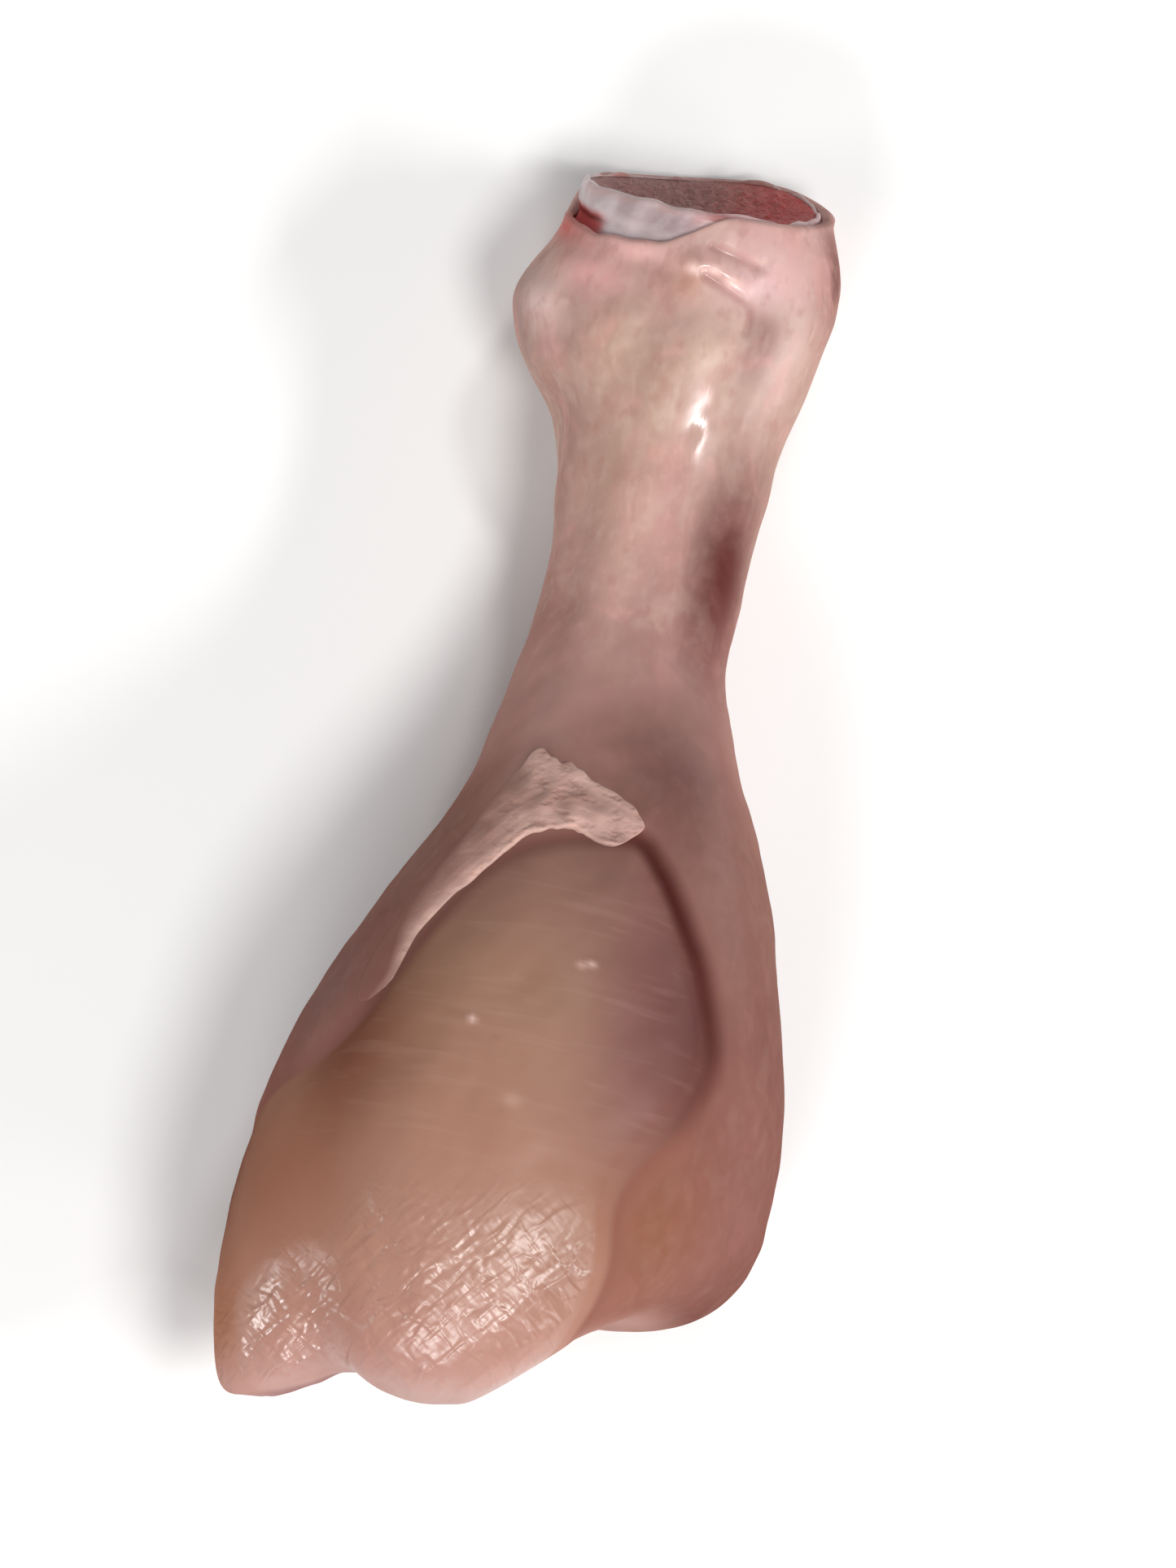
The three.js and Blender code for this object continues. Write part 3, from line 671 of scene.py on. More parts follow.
# Where the finishes lie. Pairs are a start and a full end, fours are two soft ends, a bell is an
# angle and half width, and a spot is y, half length, angle and half width.
SHAFT_YS = (12, 24)
CALF_EDGE, CALF_KEPT = (0, 2), 3
RIM_TINT, RIM_TURNS = 0.85, (0.55, 0.9)

# Wrinkles cover the knee end of the calf, from further down and stronger on its left. They glisten,
# but for the notch between the lobes and the far left.
WRINKLE_YS, WRINKLES_LOWER, WRINKLED_INSIDE = (33, 43), 6, 0.3
WRINKLED, WRINKLED_ON_LEFT, LIP_LOSS, LIP_TURNED = 1.2, 0.4, 0.5, (0.8, 1)
LEFT_LOBE, FAR_LEFT, FAR_LEFT_SHARE = (112, 130), (132, 160), 0.7
NOTCH_SPOT, NOTCH_DULL = (-45, 8, 117, 11), 0.9
DULL_LEFT = (150, 164)
WET_SPOTS = [(38.5, 6, 63, 9), (57.9, 2.2, 67, 26)]

# How dull the flanks, the shaft, the calf, the sheath beside it, its outline and a place behind it are
LEFT_FLANK, RIGHT_FLANK = (95, 135), (10, 44)
UNDERSIDE, UNDERSIDE_GLOSS = (200, 260, 310, 360), 0.6
FLANK_DULL, FLANK_DULLER, FLANK_YS = 0.85, 0.15, (20, 45)
SHAFT_DULL, CALF_DULL, SHEATH_DULL, OUTLINE_WIDE = 0.75, 0.7, 0.55, 1.6
BEHIND_DULL, BEHIND_SPOT = 0.8, (-38, 12, 36, 20)

# Painted shade in the calf's crease: darkest on the right, and fading on the left and low on the right
CREASE_DARK, CREASE_DARKER, DARKER_BELL = 0.35, 0.6, (52, 24)
DARK_LOSS_LOW, DARK_LOSS_LEFT = 0.9, 0.6

# Cross lines lie over the middle of the calf; a pale film covers the shaft, but for a bruise
LINES_ALONG, LINES_LEFT_END = (2, 10, 28, 40), (120, 160)
FILM_OFF_SHAFT, FILM_WIDE = 0.15, 2.4
BRUISE_SPOT, BRUISE_BARE = (27, 12, 28, 26), 0.9
# Painted shade along the two creases beside the roll: how strongly and how wide
CREASE_SHADE_SHARE, CREASE_SHADE_WIDE = 0.4, 0.55


def wrinkle_strength(y, degrees, on_calf, turn):
    """How deep the wrinkles near the knee are, and how much of them glistens."""
    left = rise(degrees, *LEFT_LOBE) + FAR_LEFT_SHARE * rise(degrees, *FAR_LEFT)
    start, full = (along + WRINKLES_LOWER * left for along in WRINKLE_YS)
    wrinkles = rise(-y, start, full) * on_calf * (WRINKLED + WRINKLED_ON_LEFT * left)
    wrinkles = wrinkles * (1 - LIP_LOSS * rise(turn, *LIP_TURNED))
    notch = NOTCH_DULL * spot(y, degrees, *NOTCH_SPOT)
    return wrinkles, np.clip(wrinkles, 0, 1) * (1 - rise(degrees, *DULL_LEFT)) * (1 - notch)


def dull_share(y, degrees, calf, on_calf, shaft, glistening):
    """How much of the gloss is missing: the sum of all places' dullness, less the wrinkles that glisten."""
    flank = rise(degrees, *LEFT_FLANK) - UNDERSIDE_GLOSS * between(degrees, *UNDERSIDE)
    flank = flank + 1 - rise(degrees, *RIGHT_FLANK)
    dull = flank * (FLANK_DULL + FLANK_DULLER * (1 - rise(y, *FLANK_YS))) * (1 - glistening)
    dull = dull + SHAFT_DULL * shaft + SHEATH_DULL * (1 - shaft) * (1 - on_calf)
    dull = dull + CALF_DULL * on_calf * (1 - glistening)
    return np.clip(dull + strip(calf, OUTLINE_WIDE) + BEHIND_DULL * spot(y, degrees, *BEHIND_SPOT), 0, 1)


def crease_darkness(y, degrees):
    """How dark the shade painted in the calf's crease is along its way."""
    dark = CREASE_DARK + CREASE_DARKER * bell(degrees, *DARKER_BELL)
    return dark * (1 - DARK_LOSS_LOW * rise(-y, *LOW_LOSS)) * (1 - DARK_LOSS_LEFT * rise(degrees, *LEFT_LOSS))


def flesh_fields(y, degrees, calf, turn):
    """The sheath's and the calf's colour, the distance into the calf, and how strongly each finish shows."""
    rim = RIM_TINT * rise(turn, *RIM_TURNS)
    on_calf = rise(calf, *CALF_EDGE)
    shaft = rise(y, *SHAFT_YS)
    wet = sum(spot(y, degrees, *place) for place in WET_SPOTS)
    wrinkles, glistening = wrinkle_strength(y, degrees, on_calf, turn)
    film = np.clip(shaft + FILM_OFF_SHAFT * (1 - on_calf), 0, 1) * (1 - strip(calf, FILM_WIDE))
    # Painted shade: the two creases beside the roll are darkened towards a brownish red
    red = sum(strip(distance_to(line, y, degrees, False), CREASE_SHADE_WIDE) for line, _, _ in fold_lines[:2])
    tone = mixed(sheath_colour(y, degrees), RIM_COLOUR, rim)
    return {
        "tone": mixed(tone, CREASE_SHADE_RED, CREASE_SHADE_SHARE * red),
        "calf_tone": mixed(calf_colour(y, degrees), RIM_COLOUR, rim),
        "calf": np.clip(calf, -CALF_KEPT, CALF_KEPT),
        "crease": crease_darkness(y, degrees) * (1 - rim),
        "wrinkles": wrinkles,
        "lines": on_calf * between(-y, *LINES_ALONG) * (1 - rise(degrees, *LINES_LEFT_END)),
        "film": film * (1 - BRUISE_BARE * spot(y, degrees, *BRUISE_SPOT)),
        "dull": dull_share(y, degrees, calf, on_calf, shaft, glistening) * (1 - wet),
        "wet": wet,
    }


def inner_fields(shape, colour):
    """The same fields for a surface that lies inside the leg, of one colour."""
    tone = np.broadcast_to(colour, shape + (3,))
    none = np.zeros(shape)
    return {
        "tone": tone, "calf_tone": tone, "calf": none - CALF_KEPT, "wrinkles": none + WRINKLED_INSIDE,
        "crease": none, "lines": none, "film": none, "dull": none, "wet": none,
    }


def stacked(parts):
    """Fields of several groups of rings, one group after another."""
    return {name: np.concatenate([part[name] for part in parts]) for name in parts[0]}


no_turn = np.zeros(outside_y.shape)
pale = SOCKET_PALE_SHARE * rise(share, *SOCKET_PALE_FROM)
socket_colour = mixed(BORE_COLOUR, SOCKET_PALE, pale)
outside_fields = flesh_fields(outside_y, outside_degrees, outside_calf, no_turn)
rim_fields = {name: np.repeat(values[-1:], len(RIM_SHARES), 0) for name, values in outside_fields.items()}
flesh = ring_mesh(
    "flesh_surface",
    np.concatenate([outside, rim, bore, socket, lip]),
    True,
    stacked([
        outside_fields,
        rim_fields,
        inner_fields(bore.shape[:2], BORE_COLOUR),
        inner_fields(socket.shape[:2], socket_colour),
        flesh_fields(lip_y, lip_degrees, lip_calf, lip_turn),
    ]),
)


class Reading:
    """A number, colour or vector that varies over a surface: one output of a node in a finish."""

    def __init__(self, finish, socket):
        self.finish = finish
        self.socket = socket

    def combine(self, operation, first, second):
        """What a Math node makes of two readings, or of a reading and a number."""
        return self.finish.node("ShaderNodeMath", {"operation": operation}, {0: first, 1: second})

    def __add__(self, other):
        return self.combine("ADD", self, other)

    def __radd__(self, other):
        return self.combine("ADD", other, self)

    def __sub__(self, other):
        return self.combine("SUBTRACT", self, other)

    def __rsub__(self, other):
        return self.combine("SUBTRACT", other, self)

    def __mul__(self, other):
        return self.combine("MULTIPLY", self, other)

    def __rmul__(self, other):
        return self.combine("MULTIPLY", other, self)


class Finish:
    """A material made of nodes round one Principled shader."""

    def __init__(self, name, **constants):
        self.material = bpy.data.materials.new(name)
        self.material.use_nodes = True
        self.tree = self.material.node_tree
        self.shader = self.tree.nodes["Principled BSDF"]
        for socket, value in constants.items():
            self.shader.inputs[socket.replace("_", " ")].default_value = value
        self.place = self.node("ShaderNodeTexCoord", {}, {}, "Object")

    def node(self, kind, settings, inputs, output=0):
        """Adds a node of a kind, makes its settings, then gives its sockets their values or links."""
        made = self.tree.nodes.new(kind)
        for name, value in settings.items():
            setattr(made, name, value)
        for socket, value in inputs.items():
            self.feed(made.inputs[socket], value)
        return Reading(self, made.outputs[output])

    def feed(self, socket, value):
        """Links a reading to a socket, or sets the socket's own value."""
        if isinstance(value, Reading):
            self.tree.links.new(value.socket, socket)
        else:
            socket.default_value = value

    def field(self, name):
        """A number kept at the points of the mesh."""
        return self.node("ShaderNodeAttribute", {"attribute_name": name}, {}, "Fac")

    def tone(self, name="tone"):
        """A colour kept at the points of the mesh."""
        return self.node("ShaderNodeAttribute", {"attribute_name": name}, {}, "Color")

    def stretched(self, x, y, z):
        """The place on the piece, with each direction counted in cells of that many millimetres."""
        factors = {0: self.place, 1: tuple(PER_METRE / size for size in (x, y, z))}
        return self.node("ShaderNodeVectorMath", {"operation": "MULTIPLY"}, factors, "Vector")

    def turned(self, degrees, x, y, z):
        """The same, after the place was turned that far about the vertical."""
        return self.node("ShaderNodeMapping", {"vector_type": "TEXTURE"}, {
            "Vector": self.place,
            "Rotation": (0, 0, np.radians(degrees)),
            "Scale": (x * MM, y * MM, z * MM),
        }, "Vector")

    def noise(self, x, y, z, detail, distortion=0.0, turn=0):
        """Cloudy noise from 0 to 1, its cells that many millimetres long in each direction."""
        place = self.turned(turn, x, y, z) if turn else self.stretched(x, y, z)
        return self.node("ShaderNodeTexNoise", {"noise_dimensions": "3D"}, {
            "Vector": place,
            "Scale": 1.0,
            "Detail": detail,
            "Distortion": distortion,
        }, "Fac")

    def step(self, value, start, end):
        """A smooth step of a reading, 0 at start and 1 at end."""
        return self.node("ShaderNodeMapRange", {"interpolation_type": "SMOOTHSTEP"},
                         {"Value": value, "From Min": start, "From Max": end}, "Result")

    def mix(self, share, under, over, blend="MIX"):
        """Two colours mixed by a share."""
        under, over = (c if isinstance(c, Reading) else (*c, 1.0) for c in (under, over))
        return self.node("ShaderNodeMix", {"data_type": "RGBA", "blend_type": blend},
                         {0: share, 6: under, 7: over}, 2)

    def bumped(self, height, depth):
        """The surface's direction, tilted as by a relief of that depth in millimetres."""
        settings = {"Height": height, "Distance": depth * MM, "Strength": 1.0}
        return self.node("ShaderNodeBump", {}, settings, "Normal")

    def wear(self, piece, dull=None, **sockets):
        """Feeds the shader and puts the material on a piece; dull is the share of a twin without gloss."""
        shaders = [self.shader]
        if dull is not None:
            matt = self.tree.nodes.new("ShaderNodeBsdfPrincipled")
            for glossy_socket, matt_socket in zip(self.shader.inputs, matt.inputs):
                if hasattr(glossy_socket, "default_value"):
                    matt_socket.default_value = glossy_socket.default_value
            matt.inputs["Specular IOR Level"].default_value = 0.0
            shaders.append(matt)
            both = self.node("ShaderNodeMixShader", {}, {
                0: dull, 1: Reading(self, self.shader.outputs[0]), 2: Reading(self, matt.outputs[0])})
            self.feed(self.tree.nodes["Material Output"].inputs["Surface"], both)
        for shader in shaders:
            for socket, value in sockets.items():
                self.feed(shader.inputs[socket.replace("_", " ")], value)
        piece.data.materials.append(self.material)


# Wet muscle: smooth and translucent, clouded over a centimetre or so, with faint lines across the
# calf, fibres along the shaft, and fine wrinkles that cross each other in the sheath near the knee.
wet_flesh = Finish(
    "wet_flesh", IOR=1.6, Specular_IOR_Level=0.5, Subsurface_Weight=0.2, Subsurface_Scale=0.002,
    Subsurface_Radius=(1.0, 0.42, 0.3))
clouds = wet_flesh.noise(8, 13, 8, detail=3)
mottle = wet_flesh.noise(1.6, 2.6, 1.6, detail=2)
blush = wet_flesh.noise(3.4, 4.6, 3.4, detail=3, distortion=0.6)
flecks = wet_flesh.noise(0.9, 1.3, 0.9, detail=3)
fibres = wet_flesh.noise(0.5, 7, 0.5, detail=2, distortion=0.4)
streaks = wet_flesh.noise(2.0, 10, 2.0, detail=1.5, distortion=0.6)
lines = wet_flesh.noise(9, 0.9, 5, detail=1.5, distortion=0.5)
wrinkles_one_way = wet_flesh.noise(2.8, 1.0, 4, detail=0.5, distortion=0.8, turn=50)
wrinkles_other_way = wet_flesh.noise(2.4, 0.95, 4, detail=0.5, distortion=0.8, turn=-34)

on_lines = wet_flesh.field("lines")
on_film = wet_flesh.field("film")
wrinkled = wet_flesh.field("wrinkles")
into_calf = wet_flesh.field("calf")

# Painted shade: the crease is darkest in a line just outside the calf's outline.
DARK_LINE_OUT, DARK_LINE_WIDE, DARK_LINE = 0.2, 1.8, (0.058, 0.012, 0.011)
TONES_MEET = (-0.4, 0.6)
from_line = wet_flesh.node("ShaderNodeMath", {"operation": "ABSOLUTE"}, {0: into_calf + DARK_LINE_OUT})
tone = wet_flesh.mix(wet_flesh.step(into_calf, *TONES_MEET), wet_flesh.tone(), wet_flesh.tone("calf_tone"))
in_crease = wet_flesh.step(from_line, DARK_LINE_WIDE, 0.0) * wet_flesh.field("crease")
tone = wet_flesh.mix(in_crease, tone, DARK_LINE)
tone = wet_flesh.mix(wet_flesh.step(clouds, 0.35, 0.7) * 0.12, tone, (0.55, 0.24, 0.17), "MULTIPLY")

# Pattern, the value at which it starts to show and the one at which it is full, where, strength, colour
for pattern, start, full, where, strength, colour in (
    (lines, 0.5, 0.75, on_lines, 0.05, (0.62, 0.42, 0.36)),
    (blush, 0.5, 0.72, on_film, 0.3, (0.60, 0.30, 0.27)),
    (blush, 0.48, 0.3, on_film, 0.25, (0.52, 0.40, 0.33)),
    (streaks, 0.52, 0.75, on_film, 0.10, (0.78, 0.60, 0.52)),
    (mottle, 0.5, 0.7, on_film, 0.36, (0.34, 0.17, 0.14)),
    (flecks, 0.45, 0.8, on_film, 0.12, (0.74, 0.56, 0.48)),
):
    tone = wet_flesh.mix(wet_flesh.step(pattern, start, full) * where * strength, tone, colour)

relief_height = (
    (wrinkles_one_way + wrinkles_other_way) * wrinkled * 0.7
    + lines * on_lines * 0.07
    + streaks * on_film * 0.2
    + fibres * on_film * 0.05
    + mottle * 0.07
)
smoother = 0.11 * wrinkled + 0.27 * wet_flesh.field("wet")
wet_flesh.wear(
    flesh,
    Base_Color=tone,
    dull=wet_flesh.field("dull"),
    Roughness=0.41 + 0.06 * wet_flesh.step(mottle, 0.3, 0.7) - smoother,
    Normal=wet_flesh.bumped(relief_height, 0.22),
)
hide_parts("flesh")
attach(flesh, "root")

# Flap of fascia
# A torn rag of the pale sheath that covered the calf, left over the muscle's upper end when the skin
# was pulled away. Its lower edge is thick and rolled, and on the left it thins out into the sheath.

# Share of the way from its tip, y and angle of its lower edge, y and angle of its upper edge
FLAP_STATIONS = np.array([
    (0.00, -3.4, 70.3, -1.0, 62.6),
    (0.08, -3.5, 75.0, 0.4, 65.4),
    (0.18, -3.0, 79.8, 1.7, 72.0),
    (0.28, -2.8, 84.5, 2.7, 80.5),
    (0.38, -3.1, 90.0, 3.8, 89.0),
    (0.47, -4.0, 96.0, 4.3, 96.0),
    (0.54, -5.3, 100.5, 5.2, 102.3),
    (0.60, -6.9, 104.5, 3.0, 106.3),
    (0.67, -8.6, 109.0, 0.0, 112.0),
    (0.75, -11.2, 115.0, -4.0, 118.0),
    (0.84, -15.0, 121.8, -9.4, 125.0),
    (0.93, -19.5, 125.2, -15.2, 132.5),
    (1.00, -23.0, 129.5, -19.5, 137.0),
])
LOWER_Y, LOWER_ANGLE, UPPER_Y, UPPER_ANGLE = range(1, 5)
FLAP_LENGTH = 34
FLAP_THICK, FLAP_SUNK, FILM_THICK = 0.26, 0.5, 0.03
FLAP_THINS, FLAP_THIN_SHARE = (0.5, 0.85), 0.75
FLAP_NARROWS_AT_TIP, FLAP_NARROWS_AT_TAIL, NARROWEST = 0.022, 0.1, 0.01
FLAP_ROUND_BELOW, FLAP_ROUND_ABOVE = 0.4, 0.3

# The rolled lower edge stands up as a bead, and the tip is a knob
BEAD, BEAD_IN, BEAD_WIDE, BEAD_LOSS, BEAD_ENDS = 0.06, 0.35, 0.55, 0.85, (0.5, 0.8)
TIP_KNOB, TIP_ENDS = 0.25, (0.05, 0.17)

# How far the rag of the lower and the upper edge reaches, as a share of the width
RAG_BELOW, RAG_ABOVE, RAG_TURNS = 0.008, 0.014, 5.0

# From where on the flap merges into the sheath, and how wide its upper side then fades
MERGING, MERGING_WIDE = (0.51, 0.66), 3.2
TAIL_FADES = (0.85, 1)

# Height of the threads, blotches and hollows, length and width of a thread, and size of a blotch
THREADS, BLOTCHES, HOLLOWS = 0.02, 0.06, 0.10
THREAD_LONG, THREAD_WIDE, BLOTCH_SIZE = 5.0, 0.75, 2.4

# y, angle and half width of each hollow
FLAP_HOLLOWS = [
    (0.8, 107, 1.2), (2.0, 103, 0.7), (-0.8, 101, 1.5), (-0.1, 90, 1.6), (0.5, 80.5, 1.2), (-4, 110.5, 1.2),
]

# Its colours, and how strongly and where each shows. Threads and blotches are lighter where they
# stand up. Where the flap merges, a film of its colour is left along both edges.
FLAP_PALE = (0.480, 0.305, 0.262)
# Painted shade: the flap is darker in its hollows
FLAP_HOLLOW, HOLLOW_SHARE = (0.260, 0.140, 0.112), 0.72
FLAP_EDGE, EDGE_SHARE, EDGE_BELOW, EDGE_ABOVE = (0.490, 0.315, 0.272), 0.4, 1.3, 0.5
FLAP_TIP, TIP_SHARE, TIP_FADES = (0.405, 0.250, 0.218), 0.8, (0.12, 0.34)
# Painted highlight on the peak of the upper edge
PEAK_HIGHLIGHT, PEAK_SHARE, PEAK_AT, PEAK_LONG, PEAK_UP = (0.580, 0.370, 0.320), 0.7, 0.52, 0.06, (0.6, 0.95)
THREAD_TONE, BLOTCH_TONE, TONE_LIMIT = 0.04, 0.10, 1.5
# Along the lower edge the film is the membrane's own pale colour, and also a painted highlight on that edge
FILM_ABOVE, FILM_STARTS, FILM_BELOW, FILM_BELOW_WIDE = 0.42, 0.2, 0.75, 1.3
FILM_LOSS, FILM_THINS = 0.3, (0.66, 0.8)


def rounded(distance, radius):
    """The height of a quarter circle at a distance in from its edge: 0 at the edge, 1 a radius in."""
    return np.sqrt(1 - (1 - np.clip(distance / radius, 0, 1)) ** 2)


def flap_colour(share, t, muscle, from_lower, from_upper, merging, threads, blotches, hollows):
    """The flap's colour, and how solid it is: it thins out into the muscle's colour where it merges."""
    # Painted shade in the hollows
    colours = mixed(FLAP_PALE, FLAP_HOLLOW, np.clip(HOLLOW_SHARE * hollows, 0, 1))
    threads, blotches = (np.clip(height, -TONE_LIMIT, TONE_LIMIT) for height in (threads, blotches))
    colours = colours * (1 + THREAD_TONE * threads + BLOTCH_TONE * blotches)[..., None]
    near_edge = np.clip(strip(from_lower, EDGE_BELOW) + strip(from_upper, EDGE_ABOVE) * (1 - merging), 0, 1)
    colours = mixed(colours, FLAP_EDGE, EDGE_SHARE * near_edge)
    colours = mixed(colours, FLAP_TIP, TIP_SHARE * (1 - rise(share, *TIP_FADES)))
    # Painted highlight on the peak
    colours = mixed(colours, PEAK_HIGHLIGHT, PEAK_SHARE * hump(share, PEAK_AT, PEAK_LONG) * rise(t, *PEAK_UP))
    # The film along the lower edge also stands for that edge's highlight, painted
    film = FILM_ABOVE * rise(from_upper, FILM_STARTS, MERGING_WIDE)
    film = film * (1 - FILM_LOSS * rise(share, *FILM_THINS)) + FILM_BELOW * strip(from_lower, FILM_BELOW_WIDE)
    faded = np.clip(merging * (1 - film) + rise(share, *TAIL_FADES), 0, 1)
    return mixed(colours, muscle, faded), 1 - faded


def flap_rings(shares, across, under):
    """Rings round the flap, each over its top from the lower edge to the upper one and back underneath.

    A point lies between the two edges at the same share of their length, and is lifted off the flesh.
    """
    share, t = np.meshgrid(shares, np.concatenate([across, under]), indexing="ij")
    below = np.broadcast_to(np.arange(t.shape[1]) >= len(across), t.shape)
    lower_y, lower_angle, upper_y, upper_angle = (
        size_at(share, FLAP_STATIONS, column) for column in (LOWER_Y, LOWER_ANGLE, UPPER_Y, UPPER_ANGLE))
    narrowed = rounded(share, FLAP_NARROWS_AT_TIP) * rounded(1 - share, FLAP_NARROWS_AT_TAIL)
    t = 0.5 + (t - 0.5) * narrowed
    torn = RAG_BELOW * (1 - t) * ragged(share * RAG_TURNS, seed=21)
    torn += RAG_ABOVE * t * ragged(share * RAG_TURNS, seed=22)
    t_torn = t + torn * narrowed * np.abs(2 * t - 1)
    y = lower_y + (upper_y - lower_y) * t_torn
    degrees = lower_angle + (upper_angle - lower_angle) * t_torn
    width = np.hypot(upper_y - lower_y, (upper_angle - lower_angle) * around_scale(y))
    from_lower = np.maximum(0, (t - 0.5) / np.maximum(narrowed, NARROWEST) + 0.5) * width * narrowed
    from_upper = width * narrowed - from_lower
    merging = rise(share, *MERGING)

    unrolled = np.stack([share * FLAP_LENGTH / THREAD_LONG, t * width / THREAD_WIDE, 0 * t], -1)
    threads = ripples(unrolled, 1.0, seed=23)
    blotches = ripples(section_point(y, np.radians(degrees), 0.0), BLOTCH_SIZE, seed=24)
    hollows = sum(
        strip(np.hypot(y - at_y, (degrees - angle) * around_scale(y)), wide)
        for at_y, angle, wide in FLAP_HOLLOWS)
    bead = strip(np.maximum(0, from_lower - BEAD_IN), BEAD_WIDE) * (1 - BEAD_LOSS * rise(share, *BEAD_ENDS))
    thick = FLAP_THICK + BEAD * bead + TIP_KNOB * (1 - rise(share, *TIP_ENDS))
    thick = thick + THREADS * threads + BLOTCHES * blotches - HOLLOWS * hollows
    thick = thick * (1 - merging * (1 - rise(from_upper, 0, MERGING_WIDE)))
    thick = thick * (1 - FLAP_THIN_SHARE * rise(share, *FLAP_THINS)) + FILM_THICK
    edges_down = rounded(from_lower, FLAP_ROUND_BELOW) * rounded(from_upper, FLAP_ROUND_ABOVE)
    lift = np.where(below, -FLAP_SUNK, (thick + FLAP_SUNK) * edges_down - FLAP_SUNK)
    points, _ = outside_point(y, degrees, lift=lift)
    muscle = sheath_colour(y, degrees)
    return points, *flap_colour(share, t, muscle, from_lower, from_upper, merging, threads, blotches, hollows)


flap_points, flap_colours, flap_solid = flap_rings(
    np.linspace(0, 1, 260), np.linspace(0, 1, 44), np.linspace(1, 0, 12)[1:-1])
flap = ring_mesh(
    "fascia_flap", flap_points[::-1], False, {"tone": flap_colours[::-1], "solid": flap_solid[::-1]})

torn_fascia = Finish(
    "torn_fascia", IOR=1.38, Specular_IOR_Level=0.5, Subsurface_Weight=0.3, Subsurface_Scale=0.0015,
    Subsurface_Radius=(1.0, 0.5, 0.4))
curds = torn_fascia.noise(0.7, 0.7, 0.7, detail=3)
pits = torn_fascia.noise(1.5, 1.1, 1.5, detail=2)
solid = torn_fascia.field("solid")
shaded = (torn_fascia.step(pits, 0.5, 0.72) * 0.4 + torn_fascia.step(curds, 0.5, 0.8) * 0.15) * solid
torn_fascia.wear(
    flap,
    dull=1 - 0.6 * solid,
    Base_Color=torn_fascia.mix(shaded, torn_fascia.tone(), (0.26, 0.13, 0.10)),
    Roughness=0.36 + 0.2 * curds,
    Normal=torn_fascia.bumped((curds * 0.5 - torn_fascia.step(pits, 0.45, 0.75)) * solid, 0.12),
)
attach(flap, "root")

# Shin bone and joint cartilage
# The bone runs through the leg. At the hock a wide cap of bluish cartilage was cut across and stands
# out of the sheath; at the knee its head ends in two shallow smooth facets with a ridge between.
HEAD_Y = -43
HEAD_DOME, HEAD_LUMP, HEAD_LUMP_SIZE = 1.3, 0.12, 4.0
FACET_DEPTH, FACET_OFF, FACET_WIDE = 2.2, 0.5, 0.30

# The core's far end, and the wall round it along the shaft and at the cut
CORE_END_Y = -32
CORE_WALL_SHAFT, CORE_WALL_CUT, WALL_THINS_FROM = 2.1, 0.55, 60
BONE_SIDES = 144
BONE_ROWS = rows((HEAD_Y, -28, 34), (-28, 40, 30), (40, CUT_Y, 70))
HOLLOW_ROWS = rows((CUT_Y, 54, 20), (54, CORE_END_Y - GAP, 30))
HEAD_SHARES = np.linspace(0.06, 0.98, 22)

# The chop left a ragged cut with a broken edge; the bare cartilage is lumpy, with a dent at the slit
CHOP_RAG, CHOP_RAG_FROM, BROKEN_EDGE, BROKEN_EDGE_LONG = 0.16, 56, 0.25, 0.5
BARE_LUMP, BARE_LUMP_SIZE, BARE_ANGLES, BARE_ROWS = 0.14, 4.0, (78, 100, 185, 205), (58.6, 60)
DENT_DEPTH, DENT_ROW, DENT_LONG = 0.4, 59.4, 0.8
SLIT_ANGLES, SLIT_ROWS = (130, 142, 182, 194), (59.8, 60.6)
HOLLOW_CLOSER, HOLLOW_CLOSER_ROWS = 0.85, (57, 60)

CARTILAGE_BLUE = (0.450, 0.350, 0.356)
CARTILAGE_PINK = (0.660, 0.430, 0.420)
CARTILAGE_EDGE = (0.500, 0.330, 0.315)
CARTILAGE_SHADE = (0.310, 0.215, 0.220)
CARTILAGE_FAR = (0.330, 0.150, 0.135)
# Painted light: paler low on the blue band, where the sheath's lip shades it
CARTILAGE_PALE = (0.640, 0.530, 0.540)
CARTILAGE_RED = (0.480, 0.170, 0.160)
CARTILAGE_KNEE = (0.600, 0.530, 0.540)
SLIT_RED = (0.500, 0.090, 0.085)
SLIT_DARK = (0.100, 0.016, 0.015)
KNEE_TENDON, TENDON_SHARE, TENDON_SPREAD, HEAD_EDGE = (0.560, 0.330, 0.290), 0.75, 1.3, (0.86, 0.98)
BONE_RED = (0.420, 0.150, 0.130)

# The angles at which the cap is blue, and those of its far side, hidden behind the core
BLUE_ANGLES, FAR_ANGLES = (76, 100, 185, 215), (205, 235, 343, 358)
KNEE_ROWS, CAP_ROWS, RED_INSIDE_ROWS = (-40, -33), (40, 52), (58, 61)


def core_point(row, degrees, outside=0.0):
    """A point of the spongy core's outside: the bone's, less a wall that thins towards the cut."""
    wall = CORE_WALL_SHAFT + (CORE_WALL_CUT - CORE_WALL_SHAFT) * rise(row, WALL_THINS_FROM, CUT_Y)
    return bone_point(row, degrees, outside - wall)


